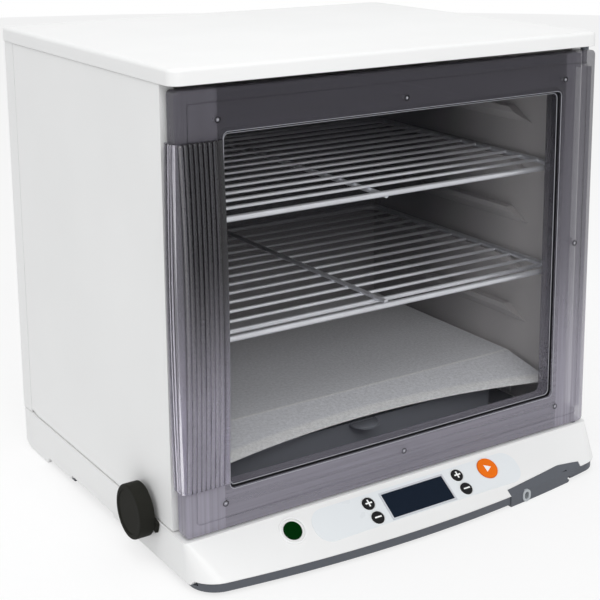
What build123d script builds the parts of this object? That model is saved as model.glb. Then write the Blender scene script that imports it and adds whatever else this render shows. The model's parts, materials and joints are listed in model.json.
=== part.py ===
"""Folding dough proofer: a heated cabinet with lift-off lid, smoked door, wire racks and a bowed base.

Millimetres, +Z up, front towards -Y. The origin lies on the table under the middle of the object.
"""
import os
from math import atan2, cos, pi, sin

from build123d import *

# ---------------------------------------------------------------- overall sizes
total_h = 387.0        # table to the top of the lid
total_d = 367.0        # bowed front of the base to the rear edge of the lid
knob_span = 434.0      # over the two lock knobs
lid_w = 404.0
bow_reach = 41.0       # bowed base ahead of the front edge of the lid
lid_t = 12.0
lid_corner = 9.0
lid_round = 3.0
plug_h = 5.0           # plug of the lid lining below the lid
plug_front_gap = 5.0
plug_gap = 1.5
lid_boss_x = 120.0
lid_boss_y = 90.0
lid_boss_d = 8.0
body_w = 402.0         # over the outer faces of the side walls
base_w = 404.0
wall_t = 13.0          # double side wall, outer skin to inner lining
skin = 2.2             # moulded skin of walls, door and lid
lining_t = 2.0
fit = 0.3              # clearance between seated mouldings
running = 0.1          # radial clearance of pins, stems and bushes
seat_gap = 0.2         # between parts of one housing
hair = 0.001
past = 5.0             # blanks and cutters run this far past a face

# ---------------------------------------------------------------- base
base_top = 36.5
front_edge = 10.5      # lower edge of the white shell along the bowed front
side_edge = 6.5        # lower edge along the sides
heel_edge = 1.3        # lower edge of the two rear heels
heel_len = 61.0
heel_round = 25.0
bow_radius = 1100.0
bow_corner = 26.0
top_corner = 4.0
rear_corner = 12.0
shell_t = 2.8
deck_t = 2.5
pan_floor = 3.0
pan_t = 2.2
foot_d = 18.0
foot_peg_d = 7.0
foot_x = 165.0
foot_front = -128.0
foot_rear = 128.0
hold_len = 86.0        # finger recess in each side of the base
hold_rise = 3.0
hold_mid = 24.5
hold_room = 14.0       # finger room behind each recess
step_run = 4.0         # length of each step along the lower edge
pan_screw_d = 3.0
pan_screw_l = 14.0
pan_screw_head = 1.6
pan_screw_bite = 8.0   # pilot hole in a post below this much solid length
post_d = 8.0
pan_screws_at = [(-150, -100), (150, -100), (-150, 100), (150, 100), (0, 140), (0, -140)]
air_slot_w = 3.0
air_slot_l = 26.0
air_slot_pitch = 12.0
air_slot_rows = 34.0
air_slot_count = 7

# ---------------------------------------------------------------- well, heater and water tray
liner_gap = 4.0        # tub flange to the side walls
flange_t = 1.5
well_w = 290.0
well_d = 190.0
well_mid = 20.0
well_floor = 14.0
tub_t = 2.0
drip_w = 6.0           # drip channel and its distance from the edge of the flange
drip_depth = 0.6
plate_lap = 8.0        # heater plate over the rim of the well
plate_corner = 8.0
heater_plate_t = 1.5
element_d = 6.5
element_w = 210.0
element_d_run = 120.0
element_bend = 24.0
clip_w = 12.0
clip_l = 8.0
clip_fit = 0.02
clip_places = (-40.0, 30.0)
ridge_drop = 1.2       # pressed ridges under the heater plate
ridge_w = 8.0
ridge_len = 150.0
ridge_places = (-50.0, 0.0, 50.0)
probe_w = 16.0
probe_d = 10.0
probe_h = 4.0
probe_tip_d = 4.0
probe_tip_h = 18.0
probe_round = 1.2
tray_w = 290.0
tray_d = 170.0
tray_h = 24.0
tray_t = 2.0
tray_corner = 8.0
tray_lead = 2.0        # front of the tray ahead of the rim of the heater plate
tray_gap = 0.2
tab_w = 26.0
tab_len = 16.5
tab_drop = 2.0         # tab below the rim of the tray
tab_t = 1.2
tab_rib = 1.2          # width of its raised edge

# ---------------------------------------------------------------- walls, ledges and racks
seam = 0.8             # open line between base and side walls
wall_top_gap = 0.3
joint_back = 26.5      # depth of the rear corner that belongs to the back wall
ledge_first = 80.0
ledge_pitch = 46.5
ledge_count = 6
ledge_out = 8.0
ledge_tip = 5.0
ledge_root = 13.5
ledge_lead = 24.0      # sloped lead-in at the front of each ledge
ledge_start = -53.0
jamb_w = 24.0          # plain strip of lining behind the door
jamb_step = 1.2
ledge_end = 1.5
seam_open_h = 3.4      # open corner at the rear end of the seam
seam_open_l = 17.0
back_gap = 0.5         # side walls to the back wall
back_corner = 6.0
rack_frame_d = 5.0
rack_wire_d = 3.0
rack_bar_d = 4.0
rack_corner = 12.0
rack_end_wire_d = 4.0  # stouter wire next to one end of the rack
rack_end_gap = 16.5    # that wire to its end rail
rack_wire_count = 12
rack_wire_pitch = 21.3
rack_wire_shift = 0.9  # wires and bar lie on two sides of the middle plane
rack_bar_shift = 2.3
rack_side_gap = 1.5
rack_front_gap = 4.7   # rack rail to the inner frame of the door
rack_back_gap = 3.0
rack_lift = 0.1        # loose parts above their ledges
lower_rack_ledge = 2   # ledges that carry the racks
upper_rack_ledge = 4
cover_t = 1.2
cover_bend = -55.0     # line where the cover plate starts to slope down
cover_drop = 11.0
cover_front_gap = 10.0
cover_arch = 20.0
cover_side_gap = 3.5
cover_back_gap = 3.0
cover_ear = 6.0        # plain corners beside the arch

# ---------------------------------------------------------------- hinges of the folding walls
fold_pin_d = 4.0
fold_lug_w = 12.0
fold_knuckle_w = 10.0
fold_gap = 0.5
fold_rise = 5.8        # pin axis above the top of the base
fold_inset = 3.5       # pin axis behind the inner face of the wall
fold_lug_r = 4.0
fold_side_places = (-40.0, 110.0)
fold_back_places = (-120.0, 120.0)

# ---------------------------------------------------------------- lock knobs
knob_d = 43.0
knob_t = 12.0
knob_y = -80.0
knob_z = 40.4
knob_stand = 3.0       # knob disc to the side wall
stem_d = 10.0
lug_ring_d = 28.0      # round lug of the wall behind the knob
cam_t = 5.0
cam_w = 9.0
cam_reach = 16.0
cam_gap = 1.5
stem_wall = 3.0
keeper_t = 2.0
keeper_w = 28.0
keeper_foot = 10.0
knob_round = 1.4
knob_dish = 0.5        # depth of the shallow dish in its face
knob_rim = 4.0
finger_lug_w = 9.0
finger_lug_turn = 198  # direction of the finger lug, from +Y

# ---------------------------------------------------------------- door
door_set = 1.1         # door face behind the front edge of the lid
door_frame_d = 15.9
door_inner_t = 2.0
door_w = 398.6
door_bottom_gap = 1.1
door_top_gap = 3.5
door_face_t = 2.4
door_hinge_in = 8.8    # pin axis from the right edge of the door
door_hinge_back = 4.8  # pin axis behind the face of the door
door_relief = 4.0
door_corner = 4.0
door_round = 1.5
door_end_in = 7.3      # inner frame short of the right edge so that the door can swing
door_pin_d = 4.4
door_pin_hold = 12.0
door_pin_out = 9.0
pin_block = 6.0
bush_d = 7.0
bush_seat = 9.0        # depth of the lower bush in the base
bush_wall = 2.0
bush_roof = 1.5
window_side = 38.0     # frame bands round the window
window_top = 32.1
window_bottom = 30.5
window_corner = 5.0
seal_lip = 1.3
seal_lap = 3.0
seal_t = 1.2
pane_t = 3.0
groove_w = 1.0
groove_depth = 0.5
groove_in = 9.0
screw_d = 3.0
screw_head_d = 5.6
screw_head_t = 0.8
screw_boss_d = 7.0
screw_in = 33.8        # corner screws from the sides of the door
screw_top = 22.7
screw_bottom = 20.4
screw_mid_in = 16.9
gasket_t = 0.6
gasket_in = 5.0
gasket_w = 6.0
gasket_left_lap = 3.0
gasket_right_lap = 1.5
magnet_h = 34.0
magnet_w = 8.0
magnet_t = 4.0
magnet_in = 9.0        # from the free edge of the door
magnet_drop = 45.0     # below the middle of the door
magnet_fit = 0.05
strike_t = 0.4
pane_clip_rise = 10.0
pane_clip_pitch = 17.0
pane_clip_h = 8.0
pane_clip_w = 4.5

# ---------------------------------------------------------------- ribbed door handle
handle_w = 36.0
handle_low = 74.5
handle_high = 334.6
handle_front = 3.0     # height of the grip at its ends
handle_bow = 5.0       # extra height at its middle
handle_side = 2.6
handle_side_bow = 1.6
handle_back = 12.0     # how far the grip wraps round the side of the door
handle_corner = 3.0
rib_count = 8
rib_pitch = 3.8
rib_r = 1.7
rib_first = 7.2        # first rib from the plain right edge
rib_facets = 6         # flats round each rib
handle_spans = 8       # straight lengths along the bow
side_rib_count = 3
side_rib_pitch = 3.6
side_rib_first = 1.5   # behind the face of the door
side_rib_r = 1.1

# ---------------------------------------------------------------- controls on the sloped front
power_d = 15.0
step_d = 10.6
start_d = 18.8
button_out = 1.2
button_flange = 1.4
button_free = 0.9      # flange below the skin
button_round = 0.7
button_flange_t = 1.2
button_stem_d = 5.0
button_gap = 0.15
switch_gap = 1.7       # stem to switch, more than the travel of a button
switch_h = 1.2
switch_w = 6.0
board_t = 1.6
board_post_d = 3.2
power_base_w = 26.0    # small board of the power button
power_base_h = 22.0
board_w = 140.0
board_h = 23.0
board_shift = 10.5
board_lift = 1.5
board_under = 8.6      # board face below the outer face of the panel
supply_x = -85.0       # power supply board in the bottom pan
supply_y = -100.0
supply_w = 66.0
supply_d = 28.0
supply_stand = 3.0
supply_post_in = 6.0
supply_post_d = 4.0
transformer_x = -15.0  # parts of the supply from its middle
transformer_box = (24.0, 18.0, 12.4)
relay_x = 11.0
relay_box = (12.0, 12.0, 8.4)
capacitor_x = 26.0
capacitor_d = 9.0
capacitor_h = 9.4
lcd_w = 61.4
lcd_h = 22.4
lcd_bezel = 1.6
lcd_glass_t = 1.6
glass_out = 0.2
lcd_in = 3.0           # module inside the glass
bezel_t = 1.6
bezel_sink = 1.0
label_ring = 0.7       # label to each button
label_cut = 20.0
panel_cut = 9.0
label_t = 0.35
label_gap = 0.02       # film of glue
label_left = -99.0
label_right = 107.0
label_h = 29.0
label_corner = 13.0

# ---------------------------------------------------------------- corner insert at the right front
insert_left = 83.0
insert_right = 171.0
insert_top = 14.0      # upper edge at its left end
insert_rise = 3.4      # rise of the upper edge towards the right
insert_depth = 17.0
insert_floor = 0.8
insert_toe = 9.0       # lower edge at the stepped right end
insert_toe_len = 13.0
port_x = 101.0
port_z = 6.1
port_w = 6.4
port_h = 8.6
port_rim = 1.1
port_out = 0.8
port_seat = 1.0        # the rim sits this deep in the face of the insert
spot_x = 156.0
spot_d = 3.6
spot_z = 4.1
insert_sink = 0.4      # face of the insert behind the skin
insert_toe_round = 3.0
insert_reach = 40.0
insert_wall = 2.5
insert_toe_wall = 4.0
insert_skin = 9.0      # front wall of the insert, from the middle of the bow
port_sleeve = 7.0

# ---------------------------------------------------------------- worked out from the sizes above
lid_back = total_d / 2
bow_front = -total_d / 2
lid_front = bow_front + bow_reach
lid_d = lid_back - lid_front
lid_mid = (lid_back + lid_front) / 2
lid_low = total_h - lid_t
base_back = lid_back - 2.5
door_face = lid_front + door_set
door_inner = door_face + door_frame_d + running + door_inner_t
wall_front = door_inner + 1.0
shell_front_top = door_face - 2.1
wall_low = base_top + seam
wall_high = lid_low - wall_top_gap
wall_out = body_w / 2
wall_in = wall_out - wall_t
wall_back = base_back - joint_back + 2.0
back_in = base_back - wall_t
door_low = base_top + door_bottom_gap
door_high = lid_low - door_top_gap
door_half = door_w / 2
hinge_x = door_half - door_hinge_in
hinge_y = door_face + door_hinge_back
win_x = door_half - window_side
win_low = door_low + window_bottom
win_high = door_high - window_top
panel_rise = 0.573     # middle of the panel on the slope
slope_angle = atan2(base_top - front_edge, shell_front_top - bow_front)
flange_half = wall_in - liner_gap
flange_front = wall_front + 3.0
flange_back = back_in - 2.0
flange_top = base_top + flange_t
well_front = well_mid - well_d / 2
knob_face = knob_span / 2

os.makedirs("parts", exist_ok=True)


def save(builder, name):
    """Label a finished piece and write it under its node name."""
    builder.part.label = name
    export_step(builder.part, f"parts/{name}.step")


def box_between(x0, x1, y0, y1, z0, z1, mode=Mode.ADD):
    """Box given by its six faces."""
    with Locations(((x0 + x1) / 2, (y0 + y1) / 2, (z0 + z1) / 2)):
        Box(x1 - x0, y1 - y0, z1 - z0, mode=mode)


def rod_x(x0, x1, y, z, d, mode=Mode.ADD):
    """Round rod or bore along X."""
    with Locations(Location(((x0 + x1) / 2, y, z), (0, 90, 0))):
        Cylinder(d / 2, x1 - x0, mode=mode)


def rod_y(x, y0, y1, z, d, mode=Mode.ADD):
    """Round rod or bore along Y."""
    with Locations(Location((x, (y0 + y1) / 2, z), (90, 0, 0))):
        Cylinder(d / 2, y1 - y0, mode=mode)


def rod_z(x, y, z0, z1, d, mode=Mode.ADD):
    """Round rod or bore along Z."""
    with Locations((x, y, (z0 + z1) / 2)):
        Cylinder(d / 2, z1 - z0, mode=mode)


# ================================================================ shape of the base
def base_outline(height, front, bowed, corner, side=0.0, nose=0.0):
    """Plan outline of the base at one height; side and nose grow it sideways and to the front."""
    half = base_w / 2 + side
    back = base_back + side
    sag = bow_radius - (bow_radius**2 - (base_w / 2) ** 2) ** 0.5
    edge = front - nose
    with BuildSketch(Plane.XY.offset(height)) as outline:
        with BuildLine():
            Polyline((-half, edge + bowed * sag), (-half, back), (half, back), (half, edge + bowed * sag))
            if bowed:
                ThreePointArc((-half, edge + sag), (0, edge), (half, edge + sag))
            else:
                Line((-half, edge), (half, edge))
        make_face()
        front_pair = outline.vertices().group_by(Axis.Y)[0]
        fillet(front_pair, corner)
        fillet(outline.vertices().group_by(Axis.Y)[-1], rear_corner + side)
    return outline.sketch


def base_block(side=0.0, nose=0.0):
    """Solid inside one skin of the base: straight skirt below, sloped bowed front above."""
    low = base_outline(front_edge, bow_front, 1, bow_corner + side, side, nose)
    high = base_outline(base_top, shell_front_top, 0, top_corner, side, nose)
    with BuildPart() as block:
        loft([low, high])
        extrude(low, amount=-front_edge - past)
    return block.part


def side_profile(back, low_curve, radius, open_below):
    """Side view that trims the base: rounded rear, heel, side edge and front edge."""
    heel_start = base_back - heel_len
    with BuildSketch(Plane.YZ) as profile:
        with BuildLine():
            Line((back, base_top + 1), (back, heel_edge + heel_round))
            RadiusArc((back, heel_edge + heel_round), (back - radius, low_curve), radius)
            if open_below:
                Polyline((back - radius, low_curve), (back - radius, -2 * past), (bow_front - past, -2 * past),
                         (bow_front - past, base_top + 1), (back, base_top + 1))
            else:
                Polyline((back - radius, low_curve), (heel_start, heel_edge),
                         (heel_start - step_run, side_edge), (door_face - 2 * step_run, side_edge),
                         (door_face - 3 * step_run, front_edge), (bow_front - past, front_edge),
                         (bow_front - past, base_top + 1), (back, base_top + 1))
        make_face()
    return profile.sketch


def slope_plane(x, rise):
    """Plane on the sloped front: x from the middle, rise from 0 at the lower edge to 1 at the top."""
    low_half = base_w / 2 - bow_corner
    top_half = base_w / 2 - top_corner
    t = x / ((1 - rise) * low_half + rise * top_half)
    low_x = t * low_half
    low_y = bow_front + bow_radius - (bow_radius**2 - low_x**2) ** 0.5
    low = Vector(low_x, low_y, front_edge)
    top = Vector(t * top_half, shell_front_top, base_top)
    along = Vector(1, (1 - rise) * low_x / bow_radius, 0)
    normal = along.cross(top - low)
    return Plane(origin=low + (top - low) * rise, x_dir=along, z_dir=normal)


panel_mid = slope_plane(0, panel_rise)
button_places = {
    "power_button": (slope_plane(-116.0, 0.654), power_d),
    "temp_up_button": (slope_plane(-44.9, 0.720), step_d),
    "temp_down_button": (slope_plane(-43.5, 0.432), step_d),
    "time_up_button": (slope_plane(45.0, 0.727), step_d),
    "time_down_button": (slope_plane(46.1, 0.436), step_d),
    "start_button": (slope_plane(76.4, 0.673), start_d),
}
power_plane = button_places["power_button"][0]
board_posts = [(panel_mid, -55.0), (panel_mid, 59.2), (power_plane, -11.0), (power_plane, 11.0)]


def fold_lug(along_x, mid, side):
    """Lug that stands on the base and carries one hinge pin of a folding wall."""
    low = base_top - deck_t
    axis_z = base_top + fold_rise
    if along_x:
        y = back_in + fold_inset
        box_between(mid - fold_lug_w / 2, mid + fold_lug_w / 2, y - fold_lug_r, y + fold_lug_r, low, axis_z)
        rod_x(mid - fold_lug_w / 2, mid + fold_lug_w / 2, y, axis_z, 2 * fold_lug_r)
        rod_x(mid - fold_lug_w, mid + fold_lug_w, y, axis_z, fold_pin_d + 2 * running, Mode.SUBTRACT)
    else:
        x = side * (wall_in + fold_inset)
        box_between(x - fold_lug_r, x + fold_lug_r, mid - fold_lug_w / 2, mid + fold_lug_w / 2, low, axis_z)
        rod_y(x, mid - fold_lug_w / 2, mid + fold_lug_w / 2, axis_z, 2 * fold_lug_r)
        rod_y(x, mid - fold_lug_w, mid + fold_lug_w, axis_z, fold_pin_d + 2 * running, Mode.SUBTRACT)


def insert_front(clearance, floor):
    """Front view of the corner insert, grown by a clearance on its upper and end edges."""
    left = insert_left - clearance
    right = insert_right + clearance
    top = insert_top + clearance
    with BuildSketch(Plane.XZ.offset(-bow_front + past)) as view:
        Polygon((left, floor), (right - insert_toe_len - insert_toe_round, floor),
                (right - insert_toe_len, floor + insert_toe_round),
                (right, insert_toe), (right, top + insert_rise), (left, top), align=None)
    return extrude(view.sketch, amount=-insert_depth - past)


cam_sweep = cam_reach + 1.0
cam_x0 = wall_out - skin - cam_gap - cam_t
cam_x1 = wall_out - skin - cam_gap
keeper_x1 = cam_x0 - 1.0
keeper_x0 = keeper_x1 - keeper_t
with BuildPart() as base_shell:
    add(base_block())
    extrude(side_profile(base_back, heel_edge, heel_round, False),
            amount=base_w, both=True, mode=Mode.INTERSECT)
    with BuildPart(mode=Mode.PRIVATE) as cavity:
        add(base_block(-shell_t, -shell_t / sin(slope_angle)))
        extrude(side_profile(base_back - shell_t, heel_edge + shell_t, heel_round - shell_t, True),
                amount=base_w, both=True, mode=Mode.INTERSECT)
        split(bisect_by=Plane.XY.offset(base_top - deck_t), keep=Keep.BOTTOM)
    add(cavity.part, mode=Mode.SUBTRACT)
    # well opening in the deck
    box_between(-well_w / 2, well_w / 2, well_front, well_front + well_d,
                base_top - deck_t - 1, base_top + 1, Mode.SUBTRACT)
    for side in (-1, 1):
        # pocket in the deck and notch in the side for the round lug of the wall and its cam
        low_x, high_x = sorted((side * (wall_in - 1), side * (base_w / 2 - shell_t)))
        box_between(low_x, high_x, knob_y - cam_sweep - 1, knob_y + cam_sweep + 1,
                    base_top - deck_t - 1, base_top + 1, Mode.SUBTRACT)
        notch_x = side * base_w / 2
        rod_x(notch_x - shell_t - 1, notch_x + shell_t + 1, knob_y, knob_z, lug_ring_d + 2 * fit, Mode.SUBTRACT)
        # finger recess along the lower edge
        with BuildSketch(Plane.YZ.offset(side * base_w / 2)) as recess:
            with Locations((hold_mid, side_edge)):
                RectangleRounded(hold_len, 2 * hold_rise, hold_rise * 0.8)
        extrude(recess.sketch, amount=3 * shell_t, both=True, mode=Mode.SUBTRACT)
        for mid in fold_side_places:
            fold_lug(False, mid, side)
    for mid in fold_back_places:
        fold_lug(True, mid, 1)
    # screw posts under the deck
    for x, y in pan_screws_at:
        rod_z(x, y, pan_floor + pan_t + fit, base_top - deck_t, post_d)
        rod_z(x, y, pan_floor, base_top - deck_t - pan_screw_bite, pan_screw_d + 2 * running, Mode.SUBTRACT)
    # bush seat of the door hinge
    rod_z(hinge_x, hinge_y, base_top - bush_seat - 2 * deck_t, base_top - deck_t, bush_d + 2 * bush_wall)
    rod_z(hinge_x, hinge_y, base_top - bush_seat, base_top + 1, bush_d, Mode.SUBTRACT)
    # posts that carry the control board and the switch of the power button
    for plane, x in board_posts:
        with BuildSketch(plane.offset(-board_under)) as board_post:
            with Locations((x, 0)):
                Circle(board_post_d / 2)
        extrude(board_post.sketch, amount=board_under - shell_t / 2)
    # holes of buttons and display
    for plane, size in button_places.values():
        with BuildSketch(plane.offset(panel_cut / 3)) as hole:
            Circle(size / 2 + button_gap)
        extrude(hole.sketch, amount=-panel_cut, mode=Mode.SUBTRACT)
    with BuildSketch(panel_mid.offset(panel_cut / 3)) as display_hole:
        Rectangle(lcd_w, lcd_h)
    extrude(display_hole.sketch, amount=-panel_cut, mode=Mode.SUBTRACT)
    # notch for the corner insert
    with BuildPart(mode=Mode.PRIVATE) as insert_notch:
        insert_front(fit, -1)
        box_between(insert_left - fit, insert_right - insert_toe_len + fit, bow_front, bow_front + insert_reach,
                    -1, insert_top + fit)
    add(insert_notch.part, mode=Mode.SUBTRACT)
save(base_shell, "base_shell")

pan_half = base_w / 2 - shell_t - fit
pan_back = base_back - heel_round
with BuildPart() as bottom_pan:
    add(base_block(-shell_t - fit, -1.0))
    split(bisect_by=Plane.XY.offset(front_edge - seat_gap), keep=Keep.BOTTOM)
    split(bisect_by=Plane.XY.offset(pan_floor), keep=Keep.TOP)
    split(bisect_by=Plane.XZ.offset(-pan_back), keep=Keep.TOP)
    with BuildPart(mode=Mode.PRIVATE) as pan_cavity:
        add(base_block(-shell_t - fit - pan_t, -1.0 - pan_t))
        split(bisect_by=Plane.XY.offset(pan_floor + pan_t), keep=Keep.TOP)
        split(bisect_by=Plane.XZ.offset(-pan_back + pan_t), keep=Keep.TOP)
    add(pan_cavity.part, mode=Mode.SUBTRACT)
    for x, y in pan_screws_at:
        rod_z(x, y, pan_floor - 1, pan_floor + pan_t + 1, pan_screw_d + 2 * running, Mode.SUBTRACT)
    for x in (-foot_x, foot_x):
        for y in (foot_front, foot_rear):
            rod_z(x, y, pan_floor - 1, pan_floor + pan_t + 1, foot_peg_d, Mode.SUBTRACT)
    # finger room beside each hand hold
    for side in (-1, 1):
        low_x, high_x = sorted((side * (pan_half - hold_room), side * (pan_half + past)))
        box_between(low_x, high_x, hold_mid - hold_len / 2, hold_mid + hold_len / 2,
                    0, front_edge, Mode.SUBTRACT)
        wall_x0, wall_x1 = sorted((side * (pan_half - hold_room - pan_t), side * (pan_half - hold_room)))
        box_between(wall_x0, wall_x1, hold_mid - hold_len / 2, hold_mid + hold_len / 2,
                    pan_floor, front_edge - seat_gap)
    # rows of air slots under the electronics
    with BuildSketch(Plane.XY.offset(pan_floor - 1)) as slots:
        with GridLocations(air_slot_pitch, air_slot_rows, air_slot_count, 2):
            SlotOverall(air_slot_l, air_slot_w, rotation=90)
    extrude(slots.sketch, amount=pan_t + 2, mode=Mode.SUBTRACT)
    add(insert_notch.part, mode=Mode.SUBTRACT)
    # the pan stays inside the skirt behind the front corners
    slope_t = (shell_t + fit) / sin(slope_angle)
    with BuildPart(mode=Mode.PRIVATE) as skirt_room:
        add(base_block(1, 1))
        add(base_block(-shell_t - fit, -slope_t), mode=Mode.SUBTRACT)
        split(bisect_by=Plane.XY.offset(side_edge - fit), keep=Keep.TOP)
        split(bisect_by=Plane.XZ.offset(-(door_face - 3 * step_run - fit)), keep=Keep.BOTTOM)
    add(skirt_room.part, mode=Mode.SUBTRACT)
save(bottom_pan, "bottom_pan")

with BuildPart() as rubber_feet:
    for x in (-foot_x, foot_x):
        for y in (foot_front, foot_rear):
            rod_z(x, y, 0, pan_floor, foot_d)
            rod_z(x, y, pan_floor, pan_floor + pan_t, foot_peg_d)
save(rubber_feet, "rubber_feet")

with BuildPart() as pan_screws:
    for x, y in pan_screws_at:
        rod_z(x, y, pan_floor - pan_screw_head, pan_floor, screw_head_d)
        rod_z(x, y, pan_floor, pan_floor + pan_screw_l, pan_screw_d)
save(pan_screws, "pan_screws")

with BuildPart() as corner_insert:
    add(base_block(-insert_sink, -insert_sink))
    with BuildPart(mode=Mode.PRIVATE) as insert_room:
        insert_front(0, insert_floor)
    add(insert_room.part, mode=Mode.INTERSECT)
    # hollow back
    box_between(insert_left + insert_wall, insert_right - insert_toe_len - insert_toe_wall,
                bow_front + insert_skin + insert_left**2 / (2 * bow_radius), bow_front + insert_reach,
                insert_floor + 2, insert_top - 2, Mode.SUBTRACT)
    with BuildSketch(Plane.XZ.offset(-bow_front + 2 * past)) as port:
        with Locations((port_x, port_z)):
            SlotOverall(port_h, port_w, rotation=90)
    extrude(port.sketch, amount=-(insert_depth + 3 * past), mode=Mode.SUBTRACT)
    port_ring = bow_front + port_x**2 / (2 * bow_radius) + insert_sink
    with BuildSketch(Plane.XZ.offset(-bow_front + 2 * past)) as rim_seat:
        with Locations((port_x, port_z)):
            SlotOverall(port_h + 2 * port_rim, port_w + 2 * port_rim, rotation=90)
    extrude(rim_seat.sketch, amount=-(port_ring + port_seat - bow_front + 2 * past), mode=Mode.SUBTRACT)
    rod_y(spot_x, bow_front - past, bow_front + insert_depth, spot_z, spot_d, Mode.SUBTRACT)
save(corner_insert, "corner_insert")

with BuildPart() as port_grommet:
    with BuildSketch(Plane.XZ.offset(-(port_ring + port_seat))) as ring:
        with Locations((port_x, port_z)):
            SlotOverall(port_h + 2 * port_rim - running, port_w + 2 * port_rim - running, rotation=90)
            SlotOverall(port_h - 2 * port_rim, port_w - 2 * port_rim, rotation=90, mode=Mode.SUBTRACT)
    extrude(ring.sketch, amount=port_seat + port_out)
    with BuildSketch(Plane.XZ.offset(-(port_ring + port_seat))) as sleeve:
        with Locations((port_x, port_z)):
            SlotOverall(port_h - running, port_w - running, rotation=90)
            SlotOverall(port_h - 2 * port_rim, port_w - 2 * port_rim, rotation=90, mode=Mode.SUBTRACT)
    extrude(sleeve.sketch, amount=-port_sleeve)
save(port_grommet, "port_grommet")

# ================================================================ tub, heater, tray
with BuildPart() as heating_tub:
    box_between(-flange_half, flange_half, flange_front, flange_back, base_top, flange_top)
    box_between(-well_w / 2 + fit, well_w / 2 - fit, well_front + fit, well_front + well_d - fit,
                well_floor, base_top)
    box_between(-well_w / 2 + fit + tub_t, well_w / 2 - fit - tub_t, well_front + fit + tub_t,
                well_front + well_d - fit - tub_t, well_floor + tub_t, flange_top + 1, Mode.SUBTRACT)
    # shallow channel that keeps drips away from the door
    box_between(-flange_half + drip_w, flange_half - drip_w, flange_front + drip_w, flange_front + 2 * drip_w,
                flange_top - drip_depth, flange_top + 1, Mode.SUBTRACT)
save(heating_tub, "heating_tub")

plate_low = flange_top
with BuildPart() as heater_plate:
    box_between(-well_w / 2 - plate_lap, well_w / 2 + plate_lap, well_front - plate_lap,
                well_front + well_d + plate_lap, plate_low, plate_low + heater_plate_t)
    fillet(heater_plate.edges().filter_by(Axis.Z), plate_corner)
    # pressed ridges that stiffen the plate
    for x in ridge_places:
        box_between(x - ridge_w / 2, x + ridge_w / 2, well_mid - ridge_len / 2, well_mid + ridge_len / 2,
                    plate_low - ridge_drop, plate_low)
save(heater_plate, "heater_plate")

element_z = plate_low - ridge_drop - element_d / 2
with BuildPart() as heater_element:
    with BuildLine() as element_path:
        Polyline((-element_w / 2, well_mid - element_d_run / 2, element_z),
                 (-element_w / 2, well_mid + element_d_run / 2, element_z),
                 (element_w / 2, well_mid + element_d_run / 2, element_z),
                 (element_w / 2, well_mid - element_d_run / 2, element_z))
        fillet(element_path.vertices().sort_by(Axis.Y)[-2:], element_bend)
    with BuildSketch(Plane(origin=element_path.line @ 0, z_dir=element_path.line % 0)):
        Circle(element_d / 2)
    sweep()
save(heater_element, "heater_element")

with BuildPart() as element_clips:
    for x in (-element_w / 2, element_w / 2):
        for place in clip_places:
            y = well_mid + place
            box_between(x - clip_w / 2, x + clip_w / 2, y - clip_l / 2, y + clip_l / 2,
                        well_floor + tub_t, plate_low - fit)
            rod_y(x, y - clip_l, y + clip_l, element_z, element_d + clip_fit, Mode.SUBTRACT)
save(element_clips, "element_clips")

probe_x = well_w / 2
probe_y = well_front + well_d + plate_lap + probe_d
with BuildPart() as temperature_probe:
    box_between(probe_x - probe_w / 2, probe_x + probe_w / 2, probe_y - probe_d / 2, probe_y + probe_d / 2,
                flange_top, flange_top + probe_h)
    rod_z(probe_x, probe_y, flange_top + probe_h, flange_top + probe_h + probe_tip_h, probe_tip_d)
    fillet(temperature_probe.edges().group_by(Axis.Z)[-1], probe_round)
save(temperature_probe, "temperature_probe")

tray_low = plate_low + heater_plate_t + tray_gap
tray_high = tray_low + tray_h
tray_front = well_front - plate_lap + tray_lead
tab_level = tray_high - tab_drop


def tray_tab(inset, overlap):
    """Tongue with a round end in front of the tray, drawn smaller by an inset."""
    half = tab_w / 2
    with BuildSketch(Plane.XY.offset(tab_level)) as tongue:
        with Locations((0, tray_front - (tab_len - half) / 2 + overlap / 2)):
            Rectangle(tab_w - 2 * inset, tab_len - half + overlap)
        with Locations((0, tray_front - tab_len + half)):
            Circle(half - inset)
    return tongue.sketch


with BuildPart() as water_tray:
    box_between(-tray_w / 2, tray_w / 2, tray_front, tray_front + tray_d, tray_low, tray_high)
    fillet(water_tray.edges().filter_by(Axis.Z), tray_corner)
    with BuildSketch(Plane.XY.offset(tray_low + tray_t)) as tray_inside:
        with Locations((0, tray_front + tray_d / 2)):
            RectangleRounded(tray_w - 2 * tray_t, tray_d - 2 * tray_t, tray_corner - tray_t)
    extrude(tray_inside.sketch, amount=tray_h, mode=Mode.SUBTRACT)
    # pull tab with a raised edge
    extrude(tray_tab(0, tray_t), amount=tab_t)
    with BuildSketch(Plane.XY.offset(tab_level)) as tab_edge:
        add(tray_tab(0, tray_t))
        add(tray_tab(tab_rib, 2 * tray_t), mode=Mode.SUBTRACT)
    extrude(tab_edge.sketch, amount=tab_drop)
save(water_tray, "water_tray")

# ================================================================ electronics behind the panel
with BuildPart() as control_board:
    with BuildSketch(panel_mid.offset(-board_under)) as board:
        with Locations((board_shift, board_lift)):
            Rectangle(board_w, board_h)
    extrude(board.sketch, amount=-board_t)
    for name, (plane, size) in button_places.items():
        if name == "power_button":
            continue
        here = panel_mid.to_local_coords(plane.origin)
        with BuildSketch(panel_mid.offset(-board_under)) as switch:
            with Locations((here.X, here.Y)):
                Rectangle(switch_w, switch_w)
        extrude(switch.sketch, amount=switch_h)
save(control_board, "control_board")

with BuildPart() as power_switch:
    with BuildSketch(power_plane.offset(-board_under)):
        Rectangle(power_base_w, power_base_h)
    extrude(amount=-board_t)
    with BuildSketch(power_plane.offset(-board_under)):
        Rectangle(2 * switch_w, 2 * switch_w)
    extrude(amount=switch_h)
save(power_switch, "power_switch")

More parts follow.
